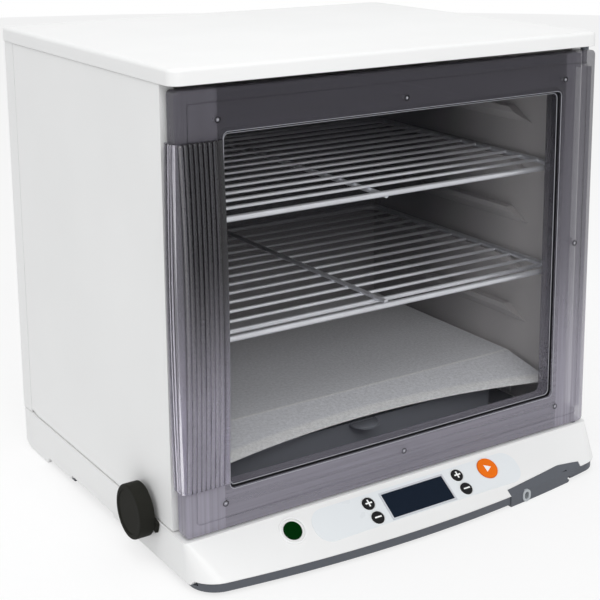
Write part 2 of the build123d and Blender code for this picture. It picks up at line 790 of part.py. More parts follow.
with BuildPart() as power_board:
    board_low = pan_floor + pan_t + supply_stand
    board_high = board_low + board_t
    with Locations((supply_x, supply_y, pan_floor + pan_t + supply_stand / 2)):
        with GridLocations(supply_w - 2 * supply_post_in, supply_d - 2 * supply_post_in, 2, 2):
            Cylinder(supply_post_d / 2, supply_stand)
    with Locations((supply_x, supply_y, (board_low + board_high) / 2)):
        Box(supply_w, supply_d, board_t)
    for x, size in ((transformer_x, transformer_box), (relay_x, relay_box)):
        with Locations((supply_x + x, supply_y, board_high + size[2] / 2)):
            Box(*size)
    rod_z(supply_x + capacitor_x, supply_y, board_high, board_high + capacitor_h, capacitor_d)
save(power_board, "power_board")

glass_low = glass_out - lcd_glass_t
with BuildPart() as display_window:
    with BuildSketch(panel_mid.offset(glass_low)):
        Rectangle(lcd_w - 2 * button_gap, lcd_h - 2 * button_gap)
    extrude(amount=lcd_glass_t)
save(display_window, "display_window")

with BuildPart() as lcd_module:
    with BuildSketch(panel_mid.offset(-board_under)):
        Rectangle(lcd_w - 2 * lcd_in, lcd_h - lcd_in)
    extrude(amount=board_under + glass_low - seat_gap)
save(lcd_module, "lcd_module")

with BuildPart() as control_label:
    add(base_block(label_t, label_t / sin(slope_angle)))
    add(base_block(label_gap, label_gap / sin(slope_angle)), mode=Mode.SUBTRACT)
    with BuildSketch(panel_mid.offset(-label_cut)) as label:
        with Locations(((label_left + label_right) / 2, 1.0)):
            RectangleRounded(label_right - label_left, label_h, label_corner)
        Rectangle(lcd_w + 2 * lcd_bezel, lcd_h + 2 * lcd_bezel, mode=Mode.SUBTRACT)
    extrude(label.sketch, amount=2 * label_cut, mode=Mode.INTERSECT)
    for name, (plane, size) in button_places.items():
        with BuildSketch(plane.offset(-past)) as clear_round:
            Circle(size / 2 + label_ring)
        extrude(clear_round.sketch, amount=2 * past, mode=Mode.SUBTRACT)
save(control_label, "control_label")

with BuildPart() as display_bezel:
    with BuildSketch(panel_mid.offset(-bezel_sink)) as bezel:
        Rectangle(lcd_w + 2 * lcd_bezel - seat_gap, lcd_h + 2 * lcd_bezel - seat_gap)
        Rectangle(lcd_w, lcd_h, mode=Mode.SUBTRACT)
    extrude(bezel.sketch, amount=bezel_t)
    add(base_block(), mode=Mode.SUBTRACT)
save(display_bezel, "display_bezel")


def button(plane, size):
    """Round push button: cap, retaining flange under the skin and stem down to its switch."""
    flange_up = -shell_t - button_free
    with BuildPart() as cap:
        with BuildSketch(plane.offset(flange_up - button_flange_t)):
            Circle(size / 2 + button_flange)
        extrude(amount=button_flange_t)
        with BuildSketch(plane.offset(flange_up)):
            Circle(size / 2)
        extrude(amount=button_out - flange_up)
        fillet(cap.edges().filter_by(GeomType.CIRCLE).sort_by(plane_axis(plane))[-1], button_round)
        with BuildSketch(plane.offset(flange_up - button_flange_t)):
            Circle(button_stem_d / 2)
        extrude(amount=-(board_under + flange_up - button_flange_t - switch_h - switch_gap))
    return cap


def plane_axis(plane):
    """Outward axis of a panel plane, for sorting edges along it."""
    return Axis(plane.origin, plane.z_dir)


for name, (plane, size) in button_places.items():
    save(button(plane, size), name)

# ================================================================ folding walls
def knuckles(along_x, mid, side):
    """The pair of hinge knuckles of a wall on both sides of one base lug."""
    axis_z = base_top + fold_rise
    near = fold_lug_w / 2 + fold_gap
    far = near + fold_knuckle_w
    for a, b in ((mid - far, mid - near), (mid + near, mid + far)):
        if along_x:
            y = back_in + fold_inset
            box_between(a, b, y - fold_lug_r, base_back - skin, wall_low + skin, axis_z + fold_lug_r)
            rod_x(a - 1, b + 1, y, axis_z, fold_pin_d + 2 * running, Mode.SUBTRACT)
        else:
            x = side * (wall_in + fold_inset)
            x0, x1 = sorted((x - side * fold_lug_r, side * (wall_out - skin)))
            box_between(x0, x1, a, b, wall_low + skin, axis_z + fold_lug_r)
            rod_y(x, a - 1, b + 1, axis_z, fold_pin_d + 2 * running, Mode.SUBTRACT)


hinge_span = fold_lug_w + 2 * fold_gap + 2 * fold_knuckle_w
hinge_top = base_top + fold_rise + fold_lug_r + 1.0

with BuildPart() as left_wall:
    box_between(-wall_out, -wall_in - lining_t, wall_front, wall_back, wall_low, wall_high)
    fillet(left_wall.faces().sort_by(Axis.X)[0].edges().filter_by(Axis.Y), 1.0)
    box_between(-wall_out + skin, 0, wall_front + skin, wall_back - skin,
                wall_low + skin, wall_high - skin, Mode.SUBTRACT)
    # round lug that reaches down behind the knob
    rod_x(-wall_out, -wall_out + skin, knob_y, knob_z, lug_ring_d)
    for mid in fold_side_places:
        box_between(-wall_out + skin + fold_gap, 0, mid - fold_lug_w / 2 - fold_gap,
                    mid + fold_lug_w / 2 + fold_gap, wall_low - 1, wall_low + skin + 1, Mode.SUBTRACT)
        knuckles(False, mid, -1)
    # bearing for the knob stem
    rod_x(-wall_out, -cam_x1 - seat_gap, knob_y, knob_z, stem_d + 2 * stem_wall)
    rod_x(-wall_out - 1, 0, knob_y, knob_z, stem_d + 2 * running, Mode.SUBTRACT)
    # room for the cam to swing through the lower rim
    box_between(-cam_x1 - 2 * fit, 0, knob_y - cam_sweep - 1, knob_y + cam_sweep + 1,
                wall_low - 1, wall_low + skin + 1, Mode.SUBTRACT)
    # open corner at the rear end of the seam
    with BuildSketch(Plane.YZ.offset(-wall_out - 1)) as open_corner:
        Polygon((wall_back + 1, wall_low - 1), (wall_back + 1, wall_low + seam_open_h),
                (wall_back, wall_low + seam_open_h), (wall_back - seam_open_l, wall_low),
                (wall_back - seam_open_l, wall_low - 1), align=None)
    extrude(open_corner.sketch, amount=skin + back_gap, mode=Mode.SUBTRACT)
save(left_wall, "left_wall")


def ledge(side, top):
    """One rack ledge: flat top, slanted underside and a lead-in slope at its front."""
    low = top - ledge_root
    root = side * wall_in
    tip = side * (wall_in - ledge_out)
    with BuildSketch(Plane.XZ.offset(-(ledge_start - ledge_lead))) as section:
        Polygon((root, low), (tip, top - ledge_tip), (tip, top), (root, top), align=None)
    extrude(section.sketch, amount=-(wall_back - ledge_end - ledge_start + ledge_lead))
    with BuildSketch(Plane.YZ.offset(side * (wall_in - ledge_out - 1))) as lead:
        Polygon((ledge_start - ledge_lead - 1, low - 1), (ledge_start - ledge_lead - 1, top + 1),
                (ledge_start, top + 1), (ledge_start, top), (ledge_start - ledge_lead, low), align=None)
    extrude(lead.sketch, amount=side * (ledge_out + 1 - hair), mode=Mode.SUBTRACT)


with BuildPart() as left_lining:
    box_between(-wall_in - lining_t, -wall_in, wall_front, wall_back, wall_low, wall_high)
    # plain strip behind the door lies a little deeper
    box_between(-wall_in - jamb_step, -wall_in + 1, wall_front - 1, wall_front + jamb_w,
                wall_low - 1, wall_high + 1, Mode.SUBTRACT)
    for number in range(ledge_count):
        ledge(-1, ledge_first + number * ledge_pitch)
    for mid in fold_side_places:
        box_between(-wall_in - lining_t - 1, 0, mid - hinge_span / 2 - 1, mid + hinge_span / 2 + 1,
                    wall_low - 1, hinge_top, Mode.SUBTRACT)
save(left_lining, "left_lining")

with BuildPart() as right_wall:
    add(mirror(left_wall.part, about=Plane.YZ))
save(right_wall, "right_wall")

with BuildPart() as right_lining:
    add(mirror(left_lining.part, about=Plane.YZ))
save(right_lining, "right_lining")

back_front = wall_back + back_gap
with BuildPart() as back_wall:
    box_between(-wall_out, wall_out, back_front, base_back, base_top + fit, wall_high)
    fillet(back_wall.edges().filter_by(Axis.Z).group_by(Axis.Y)[-1], back_corner)
    box_between(-wall_out + skin, wall_out - skin, back_front - 1, base_back - skin,
                base_top + fit + skin, wall_high - skin, Mode.SUBTRACT)
    box_between(-wall_in, wall_in, back_front - 1, back_in - lining_t,
                base_top, wall_high + 1, Mode.SUBTRACT)
    for mid in fold_back_places:
        box_between(mid - fold_lug_w / 2 - fold_gap, mid + fold_lug_w / 2 + fold_gap, back_front,
                    base_back - skin - fold_gap, base_top, wall_low + skin + 1, Mode.SUBTRACT)
        knuckles(True, mid, 1)
save(back_wall, "back_wall")

lining_low = base_top + fit + skin + seat_gap
lining_out = wall_out - skin - seat_gap
with BuildPart() as back_lining:
    with BuildSketch(Plane.XY.offset(lining_low)) as channel:
        with BuildLine():
            Polyline((-lining_out, back_front), (-wall_in, back_front), (-wall_in, back_in - lining_t),
                     (wall_in, back_in - lining_t), (wall_in, back_front), (lining_out, back_front),
                     (lining_out, back_front + lining_t), (wall_in + lining_t, back_front + lining_t),
                     (wall_in + lining_t, back_in), (-wall_in - lining_t, back_in),
                     (-wall_in - lining_t, back_front + lining_t), (-lining_out, back_front + lining_t),
                     close=True)
        make_face()
    extrude(amount=wall_high - skin - seat_gap - lining_low)
    for mid in fold_back_places:
        box_between(mid - hinge_span / 2 - 1, mid + hinge_span / 2 + 1, back_in - lining_t - 1, back_in + 1,
                    lining_low - 1, hinge_top, Mode.SUBTRACT)
save(back_lining, "back_lining")

fold_axis_z = base_top + fold_rise
for side, name in ((-1, "left_fold_pins"), (1, "right_fold_pins")):
    with BuildPart() as fold_pins:
        for mid in fold_side_places:
            rod_y(side * (wall_in + fold_inset), mid - hinge_span / 2, mid + hinge_span / 2,
                  fold_axis_z, fold_pin_d)
    save(fold_pins, name)
with BuildPart() as back_fold_pins:
    for mid in fold_back_places:
        rod_x(mid - hinge_span / 2, mid + hinge_span / 2, back_in + fold_inset, fold_axis_z, fold_pin_d)
save(back_fold_pins, "back_fold_pins")

# ================================================================ lock knobs
def lock_knob(side):
    """Quarter-turn knob with stem, finger lug and the cam that holds the wall to the base."""
    face = side * knob_face
    back = side * (knob_face - knob_t)
    with BuildPart() as knob:
        x0, x1 = sorted((face, back))
        rod_x(x0, x1, knob_y, knob_z, knob_d)
        fillet(knob.faces().filter_by(Plane.YZ).sort_by(Axis.X)[0 if side < 0 else -1].edges(), knob_round)
        # shallow dish in the face
        dish = side * (knob_face - knob_dish)
        d0, d1 = sorted((face + side, dish))
        rod_x(d0, d1, knob_y, knob_z, knob_d - 2 * knob_rim, Mode.SUBTRACT)
        # finger lug on the back of the disc
        with BuildSketch(Plane.YZ.offset(back)) as lug:
            with Locations(Location((knob_y, knob_z), finger_lug_turn)):
                with Locations((knob_d / 4 + knob_round, 0)):
                    Rectangle(knob_d / 2 + 2 * knob_round, finger_lug_w)
        extrude(lug.sketch, amount=side * -(knob_stand - 2 * fit))
        s0, s1 = sorted((back, side * cam_x0))
        rod_x(s0, s1, knob_y, knob_z, stem_d)
        c0, c1 = sorted((side * cam_x0, side * cam_x1))
        box_between(c0, c1, knob_y - cam_w / 2, knob_y + cam_w / 2, knob_z - cam_reach, knob_z + stem_d / 2)
    return knob


save(lock_knob(-1), "left_knob")
save(lock_knob(1), "right_knob")

for side, name in ((-1, "left_lock_keeper"), (1, "right_lock_keeper")):
    with BuildPart() as keeper:
        x0, x1 = sorted((side * keeper_x0, side * keeper_x1))
        foot0, foot1 = sorted((side * (keeper_x0 - keeper_foot), side * keeper_x1))
        y0, y1 = knob_y - keeper_w / 2, knob_y + keeper_w / 2
        box_between(x0, x1, y0, y1, pan_floor + pan_t, base_top - deck_t - fit)
        box_between(foot0, foot1, y0, y1, pan_floor + pan_t, pan_floor + pan_t + keeper_t)
    save(keeper, name)

# ================================================================ racks and cover plate
rack_half = wall_in - rack_side_gap - rack_frame_d / 2
rack_front = door_inner + rack_front_gap + rack_frame_d / 2
rack_back = back_in - lining_t - rack_back_gap - rack_frame_d / 2


def wire_rack(number, up):
    """Wire rack on one ledge: frame, cross wires and a bar; up is -1 where it lies turned over."""
    z = ledge_first + number * ledge_pitch + rack_frame_d / 2 + rack_lift
    end = rack_front if up > 0 else rack_back
    with BuildPart() as rack:
        with BuildLine() as loop:
            Polyline((-rack_half, rack_front, z), (rack_half, rack_front, z), (rack_half, rack_back, z),
                     (-rack_half, rack_back, z), close=True)
            fillet(loop.vertices(), rack_corner)
        start = loop.edges().sort_by(Axis.Y)[0]
        with BuildSketch(Plane(origin=start @ 0.5, z_dir=start % 0.5)):
            Circle(rack_frame_d / 2)
        sweep(path=loop.wires()[0])
        for wire in range(rack_wire_count):
            y = end + up * (rack_end_gap + wire * rack_wire_pitch)
            rod_x(-rack_half, rack_half, y, z - up * rack_wire_shift, rack_wire_d if wire else rack_end_wire_d)
        rod_y(0, rack_front + 1, rack_back - 1, z + up * rack_bar_shift, rack_bar_d)
    return rack


save(wire_rack(lower_rack_ledge, 1), "lower_rack")
save(wire_rack(upper_rack_ledge, -1), "upper_rack")

cover_front = door_inner + cover_front_gap
cover_half = wall_in - cover_side_gap
cover_low = ledge_first + rack_lift
cover_back = back_in - lining_t - cover_back_gap
arch_half = cover_half - cover_ear
with BuildPart() as cover_plate:
    with BuildSketch(Plane.YZ) as fold_line:
        Polygon((cover_back, cover_low), (cover_back, cover_low + cover_t), (cover_bend, cover_low + cover_t),
                (cover_front, cover_low + cover_t - cover_drop), (cover_front, cover_low - cover_drop),
                (cover_bend, cover_low), align=None)
    extrude(amount=cover_half, both=True)
    # arched front edge
    with BuildSketch(Plane.XY.offset(cover_low - cover_drop - 1)) as arch:
        with BuildLine():
            ThreePointArc((-arch_half, cover_front), (0, cover_front + cover_arch), (arch_half, cover_front))
            Polyline((arch_half, cover_front), (arch_half, cover_front - 1),
                     (-arch_half, cover_front - 1), (-arch_half, cover_front))
        make_face()
    extrude(amount=cover_drop + cover_t + 2, mode=Mode.SUBTRACT)
save(cover_plate, "cover_plate")

# ================================================================ lid
with BuildPart() as lid_shell:
    with BuildSketch(Plane.XY.offset(lid_low)):
        with Locations((0, lid_mid)):
            RectangleRounded(lid_w, lid_d, lid_corner)
    extrude(amount=lid_t)
    fillet(lid_shell.edges().group_by(Axis.Z)[-1], lid_round)
    with BuildSketch(Plane.XY.offset(lid_low)) as lid_inside:
        with Locations((0, lid_mid)):
            RectangleRounded(lid_w - 2 * skin, lid_d - 2 * skin, lid_corner - skin)
    extrude(lid_inside.sketch, amount=lid_t - skin, mode=Mode.SUBTRACT)
save(lid_shell, "lid_shell")

plug_low = lid_low - plug_h
plug_front = wall_front + plug_front_gap
plug_back = back_in - lining_t - plug_gap
plug_half = wall_in - plug_gap
with BuildPart() as lid_lining:
    with BuildSketch(Plane.XY.offset(lid_low)):
        with Locations((0, lid_mid)):
            RectangleRounded(lid_w - 2 * skin - 2 * fit, lid_d - 2 * skin - 2 * fit, lid_corner - skin - fit)
    extrude(amount=lining_t)
    box_between(-plug_half, plug_half, plug_front, plug_back, plug_low, lid_low + lining_t)
    box_between(-plug_half + lining_t, plug_half - lining_t, plug_front + lining_t, plug_back - lining_t,
                plug_low + lining_t, lid_low + lining_t + 1, Mode.SUBTRACT)
    for x in (-lid_boss_x, 0.0, lid_boss_x):
        for y in (lid_mid - lid_boss_y, lid_mid + lid_boss_y):
            rod_z(x, y, plug_low + 1, total_h - skin - running, lid_boss_d)
    rod_z(hinge_x, hinge_y, lid_low - 1, lid_low + lining_t + 1, bush_d, Mode.SUBTRACT)
save(lid_lining, "lid_lining")

with BuildPart() as lid_bush:
    rod_z(hinge_x, hinge_y, door_high + fit, total_h - skin - running, bush_d)
    rod_z(hinge_x, hinge_y, door_high - 1, total_h - skin - bush_roof, door_pin_d + 2 * running, Mode.SUBTRACT)
save(lid_bush, "lid_bush")

with BuildPart() as base_bush:
    rod_z(hinge_x, hinge_y, base_top - bush_seat, door_low - fit, bush_d)
    rod_z(hinge_x, hinge_y, base_top - bush_seat + 1, door_low + 1, door_pin_d + 2 * running, Mode.SUBTRACT)
save(base_bush, "base_bush")

# ================================================================ door
frame_back = door_face + door_frame_d
door_mid_z = (door_low + door_high) / 2
win_mid_z = (win_low + win_high) / 2
win_h = win_high - win_low
screw_places = [(-door_half + screw_in, door_high - screw_top), (0, door_high - screw_top),
                (door_half - screw_in, door_high - screw_top), (door_half - screw_mid_in, door_mid_z),
                (door_half - screw_in, door_low + screw_bottom), (0, door_low + screw_bottom),
                (-door_half + screw_in, door_low + screw_bottom), (-door_half + screw_mid_in, door_mid_z)]
sleeve_out = 4.0       # sleeve of the inner frame outside the window


def front_ring(y, outer_w, outer_h, outer_r, mid_z, inner_w, inner_h, inner_r, depth):
    """Rectangular ring parallel to the door face, from y backwards by depth."""
    with BuildSketch(Plane.XZ.offset(-y)) as ring:
        with Locations((0, mid_z)):
            RectangleRounded(outer_w, outer_h, outer_r)
        with Locations((0, win_mid_z)):
            RectangleRounded(inner_w, inner_h, inner_r, mode=Mode.SUBTRACT)
    return extrude(ring.sketch, amount=-depth)


with BuildPart() as door_frame:
    with BuildSketch(Plane.XZ.offset(-door_face)) as door_outline:
        with Locations((0, door_mid_z)):
            RectangleRounded(door_w, door_high - door_low, door_corner)
    extrude(door_outline.sketch, amount=-door_frame_d)
    fillet(door_frame.faces().sort_by(Axis.Y)[0].edges(), door_round)
    # relief of the rear edge on the hinge side
    right_rear = door_frame.edges().filter_by(Axis.Z).group_by(Axis.X)[-1].sort_by(Axis.Y)[-1]
    chamfer(right_rear, door_relief)
    # hollow from behind
    with BuildSketch(Plane.XZ.offset(-(door_face + door_face_t))) as inside:
        with Locations((0, door_mid_z)):
            RectangleRounded(door_w - 2 * skin, door_high - door_low - 2 * skin, 2)
    extrude(inside.sketch, amount=-door_frame_d, mode=Mode.SUBTRACT)
    # window
    with BuildSketch(Plane.XZ.offset(-door_face + 1)) as window:
        with Locations((0, win_mid_z)):
            RectangleRounded(2 * win_x, win_h, window_corner)
    extrude(window.sketch, amount=-door_frame_d, mode=Mode.SUBTRACT)
    # fine line that follows the outer edge
    with BuildSketch(Plane.XZ.offset(-door_face)) as line_ring:
        with Locations((0, door_mid_z)):
            for inset, corner, mode in ((groove_in, 3, Mode.ADD), (groove_in + groove_w, 2, Mode.SUBTRACT)):
                RectangleRounded(door_w - 2 * inset, door_high - door_low - 2 * inset, corner, mode=mode)
    extrude(line_ring.sketch, amount=-groove_depth, mode=Mode.SUBTRACT)
    # screw bosses and solid hinge corners
    for x, z in screw_places:
        rod_y(x, door_face + door_face_t, frame_back, z, screw_boss_d)
        rod_y(x, door_face + door_face_t, frame_back + 1, z, screw_d + 2 * running, Mode.SUBTRACT)
    for z0 in (door_low + skin, door_high - skin - door_pin_hold):
        box_between(hinge_x - pin_block, door_half - skin, door_face + door_face_t, hinge_y + pin_block,
                    z0, z0 + door_pin_hold)
    rod_z(hinge_x, hinge_y, door_low - 1, door_low + door_pin_hold, door_pin_d, Mode.SUBTRACT)
    rod_z(hinge_x, hinge_y, door_high - door_pin_hold, door_high + 1, door_pin_d, Mode.SUBTRACT)
save(door_frame, "door_frame")

seal_front = door_face + door_face_t + running
with BuildPart() as window_seal:
    front_ring(seal_front, 2 * win_x + 2 * seal_lap, win_h + 2 * seal_lap, window_corner + seal_lap, win_mid_z,
               2 * win_x - 2 * seal_lip, win_h - 2 * seal_lip, window_corner - seal_lip, seal_t)
save(window_seal, "window_seal")

pane_front = seal_front + seal_t
with BuildPart() as door_pane:
    with BuildSketch(Plane.XZ.offset(-pane_front)):
        with Locations((0, win_mid_z)):
            RectangleRounded(2 * win_x + 2 * seal_lap, win_h + 2 * seal_lap, window_corner + seal_lap)
    extrude(amount=-pane_t)
save(door_pane, "door_pane")

inner_front = frame_back + running
inner_left = -door_half + skin + 1.0
inner_right = door_half - door_end_in
magnet_x = -door_half + magnet_in
magnet_low = door_mid_z - magnet_h / 2 - magnet_drop
with BuildPart() as door_inner_frame:
    with BuildSketch(Plane.XZ.offset(-inner_front)) as inner_plate:
        with Locations(((inner_left + inner_right) / 2, door_mid_z)):
            RectangleRounded(inner_right - inner_left, door_high - door_low - 2, 3)
        with Locations((0, win_mid_z)):
            RectangleRounded(2 * win_x, win_h, window_corner, mode=Mode.SUBTRACT)
    extrude(inner_plate.sketch, amount=-door_inner_t)
    front_ring(pane_front + pane_t + running, 2 * win_x + 2 * sleeve_out, win_h + 2 * sleeve_out,
               window_corner + sleeve_out, win_mid_z, 2 * win_x, win_h, window_corner,
               inner_front - pane_front - pane_t)
    for x, z in screw_places:
        rod_y(x, inner_front - 1, door_inner + 1, z, screw_d + 2 * running, Mode.SUBTRACT)
        rod_y(x, door_inner - screw_head_t, door_inner + 1, z, screw_head_d, Mode.SUBTRACT)
    box_between(magnet_x, magnet_x + magnet_w, inner_front - 1, door_inner + 1,
                magnet_low, magnet_low + magnet_h, Mode.SUBTRACT)
save(door_inner_frame, "door_inner_frame")

with BuildPart() as door_screws:
    for x, z in screw_places:
        rod_y(x, door_inner - screw_head_t, door_inner, z, screw_head_d - running)
        rod_y(x, door_face + door_face_t + 2, door_inner - screw_head_t, z, screw_d)
save(door_screws, "door_screws")

with BuildPart() as door_magnet:
    box_between(magnet_x + magnet_fit, magnet_x + magnet_w - magnet_fit, inner_front - magnet_t, door_inner,
                magnet_low + magnet_fit, magnet_low + magnet_h - magnet_fit)
save(door_magnet, "door_magnet")

with BuildPart() as magnet_strike:
    box_between(magnet_x, magnet_x + magnet_w - 2, wall_front - strike_t, wall_front,
                magnet_low, magnet_low + magnet_h)
save(magnet_strike, "magnet_strike")

with BuildPart() as door_gasket:
    with BuildSketch(Plane.XZ.offset(-door_inner)) as gasket:
        gasket_left = -wall_in - gasket_left_lap
        gasket_right = wall_in + gasket_right_lap
        with Locations(((gasket_left + gasket_right) / 2, door_mid_z)):
            for inset, mode in ((0, Mode.ADD), (gasket_w, Mode.SUBTRACT)):
                Rectangle(gasket_right - gasket_left - 2 * inset,
                          door_high - door_low - 2 * gasket_in - 2 * inset, mode=mode)
        for x, z in screw_places:
            with Locations((x, z)):
                Circle(screw_head_d / 2 + 1, mode=Mode.SUBTRACT)
    extrude(gasket.sketch, amount=-gasket_t)
save(door_gasket, "door_gasket")

with BuildPart() as door_pins:
    rod_z(hinge_x, hinge_y, base_top - bush_seat + 2, door_low + door_pin_hold, door_pin_d)
    rod_z(hinge_x, hinge_y, door_high - door_pin_hold, door_high + door_pin_out, door_pin_d)
save(door_pins, "door_pins")

with BuildPart() as pane_clips:
    for step in (-0.5, 0.5):
        z = door_mid_z + pane_clip_rise + step * pane_clip_pitch
        box_between(win_x + pane_clip_w, win_x + 2 * pane_clip_w, pane_front + pane_t + seat_gap,
                    frame_back - seat_gap, z - pane_clip_h / 2, z + pane_clip_h / 2)
save(pane_clips, "pane_clips")

# ================================================================ ribbed handle
handle_len = handle_high - handle_low
handle_mid = (handle_high + handle_low) / 2
grip_front = door_face - handle_front
grip_side = -door_half - handle_side
grip_right = -door_half + handle_w


def grip_outline(z):
    """Plan of the grip at one height: ribbed front, round corner, side with finer ribs, room for the door."""
    lift = 1 - ((z - handle_mid) / (handle_len / 2)) ** 2
    front = grip_front - handle_bow * lift
    side = grip_side - handle_side_bow * lift
    share = min(1, min(z - handle_low, handle_high - z) / rib_r)
    turns = [pi * step / rib_facets for step in range(rib_facets + 1)]
    handle_end = door_face + handle_back
    inner_x = -door_half - running
    outline = [(grip_right, door_face - running), (grip_right, front)]
    for number in range(rib_count):
        x = grip_right - rib_first - number * rib_pitch
        outline += [(x + rib_r * cos(turn), front - share * rib_r * sin(turn)) for turn in turns]
    for turn in turns:
        outline.append((side + handle_corner * (1 - sin(turn / 2)), front + handle_corner * (1 - cos(turn / 2))))
    for number in range(side_rib_count):
        y = door_face + side_rib_first + number * side_rib_pitch
        outline += [(side - share * side_rib_r * sin(turn), y - side_rib_r * cos(turn)) for turn in turns]
    outline += [(side, handle_end), (inner_x, handle_end), (inner_x, door_face - running)]
    return [Vector(x, y, z) for x, y in outline]


def patch(a, b, c, d):
    """Face over four points, or two where they don't lie in one plane."""
    if abs((b - a).cross(d - a).dot(c - a)) < hair:
        return [Face(Wire.make_polygon([a, b, c, d]))]
    return [Face(Wire.make_polygon([a, b, c])), Face(Wire.make_polygon([a, c, d]))]


bow_low = handle_low + rib_r
bow_span = (handle_len - 2 * rib_r) / handle_spans
grip_heights = [handle_low] + [bow_low + number * bow_span for number in range(handle_spans + 1)] + [handle_high]
rings = [grip_outline(z) for z in grip_heights]
grip_faces = [Face(Wire.make_polygon(rings[0])), Face(Wire.make_polygon(rings[-1]))]
for below, above in zip(rings, rings[1:]):
    for number in range(len(below)):
        after = (number + 1) % len(below)
        grip_faces += patch(below[number], below[after], above[after], above[number])
with BuildPart() as door_handle:
    add(Solid(Shell(grip_faces)))
save(door_handle, "door_handle")
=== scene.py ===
"""Studio looks for the folding dough proofer: finishes, fine trim, wire racks, light and camera."""

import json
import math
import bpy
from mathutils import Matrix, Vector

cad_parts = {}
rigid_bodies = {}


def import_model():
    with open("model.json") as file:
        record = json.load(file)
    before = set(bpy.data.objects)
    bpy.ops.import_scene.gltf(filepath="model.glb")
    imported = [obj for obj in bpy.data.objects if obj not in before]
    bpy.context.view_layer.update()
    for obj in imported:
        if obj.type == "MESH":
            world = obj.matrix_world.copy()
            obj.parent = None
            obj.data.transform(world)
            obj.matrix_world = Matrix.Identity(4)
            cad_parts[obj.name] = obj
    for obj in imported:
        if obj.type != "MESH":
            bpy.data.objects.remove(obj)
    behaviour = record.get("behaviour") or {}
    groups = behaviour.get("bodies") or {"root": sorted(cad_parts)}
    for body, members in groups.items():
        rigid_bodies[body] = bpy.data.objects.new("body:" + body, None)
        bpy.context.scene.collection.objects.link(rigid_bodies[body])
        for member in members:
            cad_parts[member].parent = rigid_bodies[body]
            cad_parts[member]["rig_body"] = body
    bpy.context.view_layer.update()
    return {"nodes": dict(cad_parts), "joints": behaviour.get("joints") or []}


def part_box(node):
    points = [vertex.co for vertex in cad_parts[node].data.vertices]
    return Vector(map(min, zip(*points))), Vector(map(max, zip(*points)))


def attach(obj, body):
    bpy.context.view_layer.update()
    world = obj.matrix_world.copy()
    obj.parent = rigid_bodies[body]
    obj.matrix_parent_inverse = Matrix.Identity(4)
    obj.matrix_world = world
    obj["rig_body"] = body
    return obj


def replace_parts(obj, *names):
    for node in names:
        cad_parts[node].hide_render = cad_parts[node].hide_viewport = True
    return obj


bl_info = {
    "name": "Folding dough proofer",
    "version": (1, 0, 0),
    "blender": (4, 5, 0),
    "location": "3D View > Sidebar > Proofer",
    "description": "Dresses the packed proofer with moulded plastic, smoked door, bright racks and a stage",
    "category": "Object",
}

import bmesh
import bpy
from bpy.props import FloatProperty, FloatVectorProperty, IntProperty, PointerProperty
from mathutils import Matrix, Vector

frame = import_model()
NODES = frame["nodes"]
MM = 0.001
UPRIGHT = (math.radians(90), 0.0, 0.0)  # turns a flat ring to face the front
WHITE = (1.0, 1.0, 1.0)
RIB_GAP_PAINTED_SHADE = (0.02, 0.018, 0.026)        # painted shade in the gap between two ribs of the handle
RIB_DIM_PAINTED_HIGHLIGHT = (0.28, 0.27, 0.31)        # dimmer painted highlight on a rib where the cabin behind is dark

# patterns
NOISE_SPAN = (0.25, 0.75)               # values that noise mostly keeps within
TONE_STOPS = (0.3, 0.7)
GRAIN, BRUSH, FLOW = 900.0, 600.0, 420.0
BUMP, MILD_BUMP = 0.35, 0.3
LEVEL = (1.0, 1.0, 0.0)                 # flattens a pattern to the plan

# handle
HANDLE_CORNER = 5.0 * MM
HANDLE_FACE_BACK = 3.0 * MM             # foot of the bow ahead of the door face
HANDLE_ROOM = 0.1 * MM                  # play between grip and door
HANDLE_EDGE = 0.6 * MM                  # rounding of the plain edge
SIDE_RIBS = 3
SIDE_RIB_PITCH = 3.6 * MM
SIDE_RIB_FIRST = 1.5 * MM               # first side rib behind the door face
RIB_STEPS = 14
CORNER_STEPS = 7
BOW_STEPS = 40
# turn round a rib of its painted highlight line, reach of that highlight and of the painted shade in the
# gap
HIGHLIGHT_AT, HIGHLIGHT_REACH, GAP_SHADE_REACH = (math.radians(a) for a in (120, 28, 50))

# racks
RACK_CORNER = 12.0 * MM
WIRE_BELOW = 0.9 * MM                   # wires and bar lie on two sides of the middle plane
BAR_ABOVE = 2.3 * MM
BAR_SHORT = 1.0 * MM

# door and controls
WINDOW_CORNER = 4.5 * MM
SEAL_LAP, SEAL_LIP = 3.0 * MM, 1.3 * MM
# stroke of the painted highlight lines beside the window seal
HIGHLIGHT_STROKE = 0.3 * MM
SCREW_GROUP = 7.0 * MM                  # points nearer than this belong to one screw
SIGN_THICK = 0.12 * MM
SIGN_REACH = 3.1 * MM
PLAY_REACH = 3.4 * MM
RING_GAP, RING_STROKE, RING_SUNK = 1.5 * MM, 0.8 * MM, 0.9 * MM

# stage
LOOK_AT = (0, 0, 0.2)
KEY_AT, KEY_SIZE = (-0.7, -0.3, 2.3), (1.8, 1.6)
FILL_AT, FILL_SIZE = (-0.5, -1.95, 1.6), (1.6, 1.0)
SKY_TINT = (0.98, 0.99, 1.0)
FLOOR_RADIUS = 4.0
FLOOR_GREY = 0.94
CAMERA_AT = (-0.6143, -0.9612, 0.5178)
CAMERA_DOWN, CAMERA_TURN = 12.135, -34.51
PHOTO_SIZE = 600
PHOTO_CENTRE = (352.9, 162.9)           # pixel that the lens looks at squarely


# ---------------------------------------------------------------- colours and sizes that a user may change
def colour(name, text, value):
    return FloatVectorProperty(name=name, description=text, default=value, size=3, subtype="COLOR",
                               min=0.0, max=1.0)


def length(name, text, value):
    return FloatProperty(name=name, description=text, default=value, min=0.0, unit="LENGTH",
                         subtype="DISTANCE")


def count(name, text, value, least, most):
    return IntProperty(name=name, description=text, default=value, min=least, max=most)


def level(name, text, value, **kind):
    return FloatProperty(name=name, description=text, default=value, **kind)


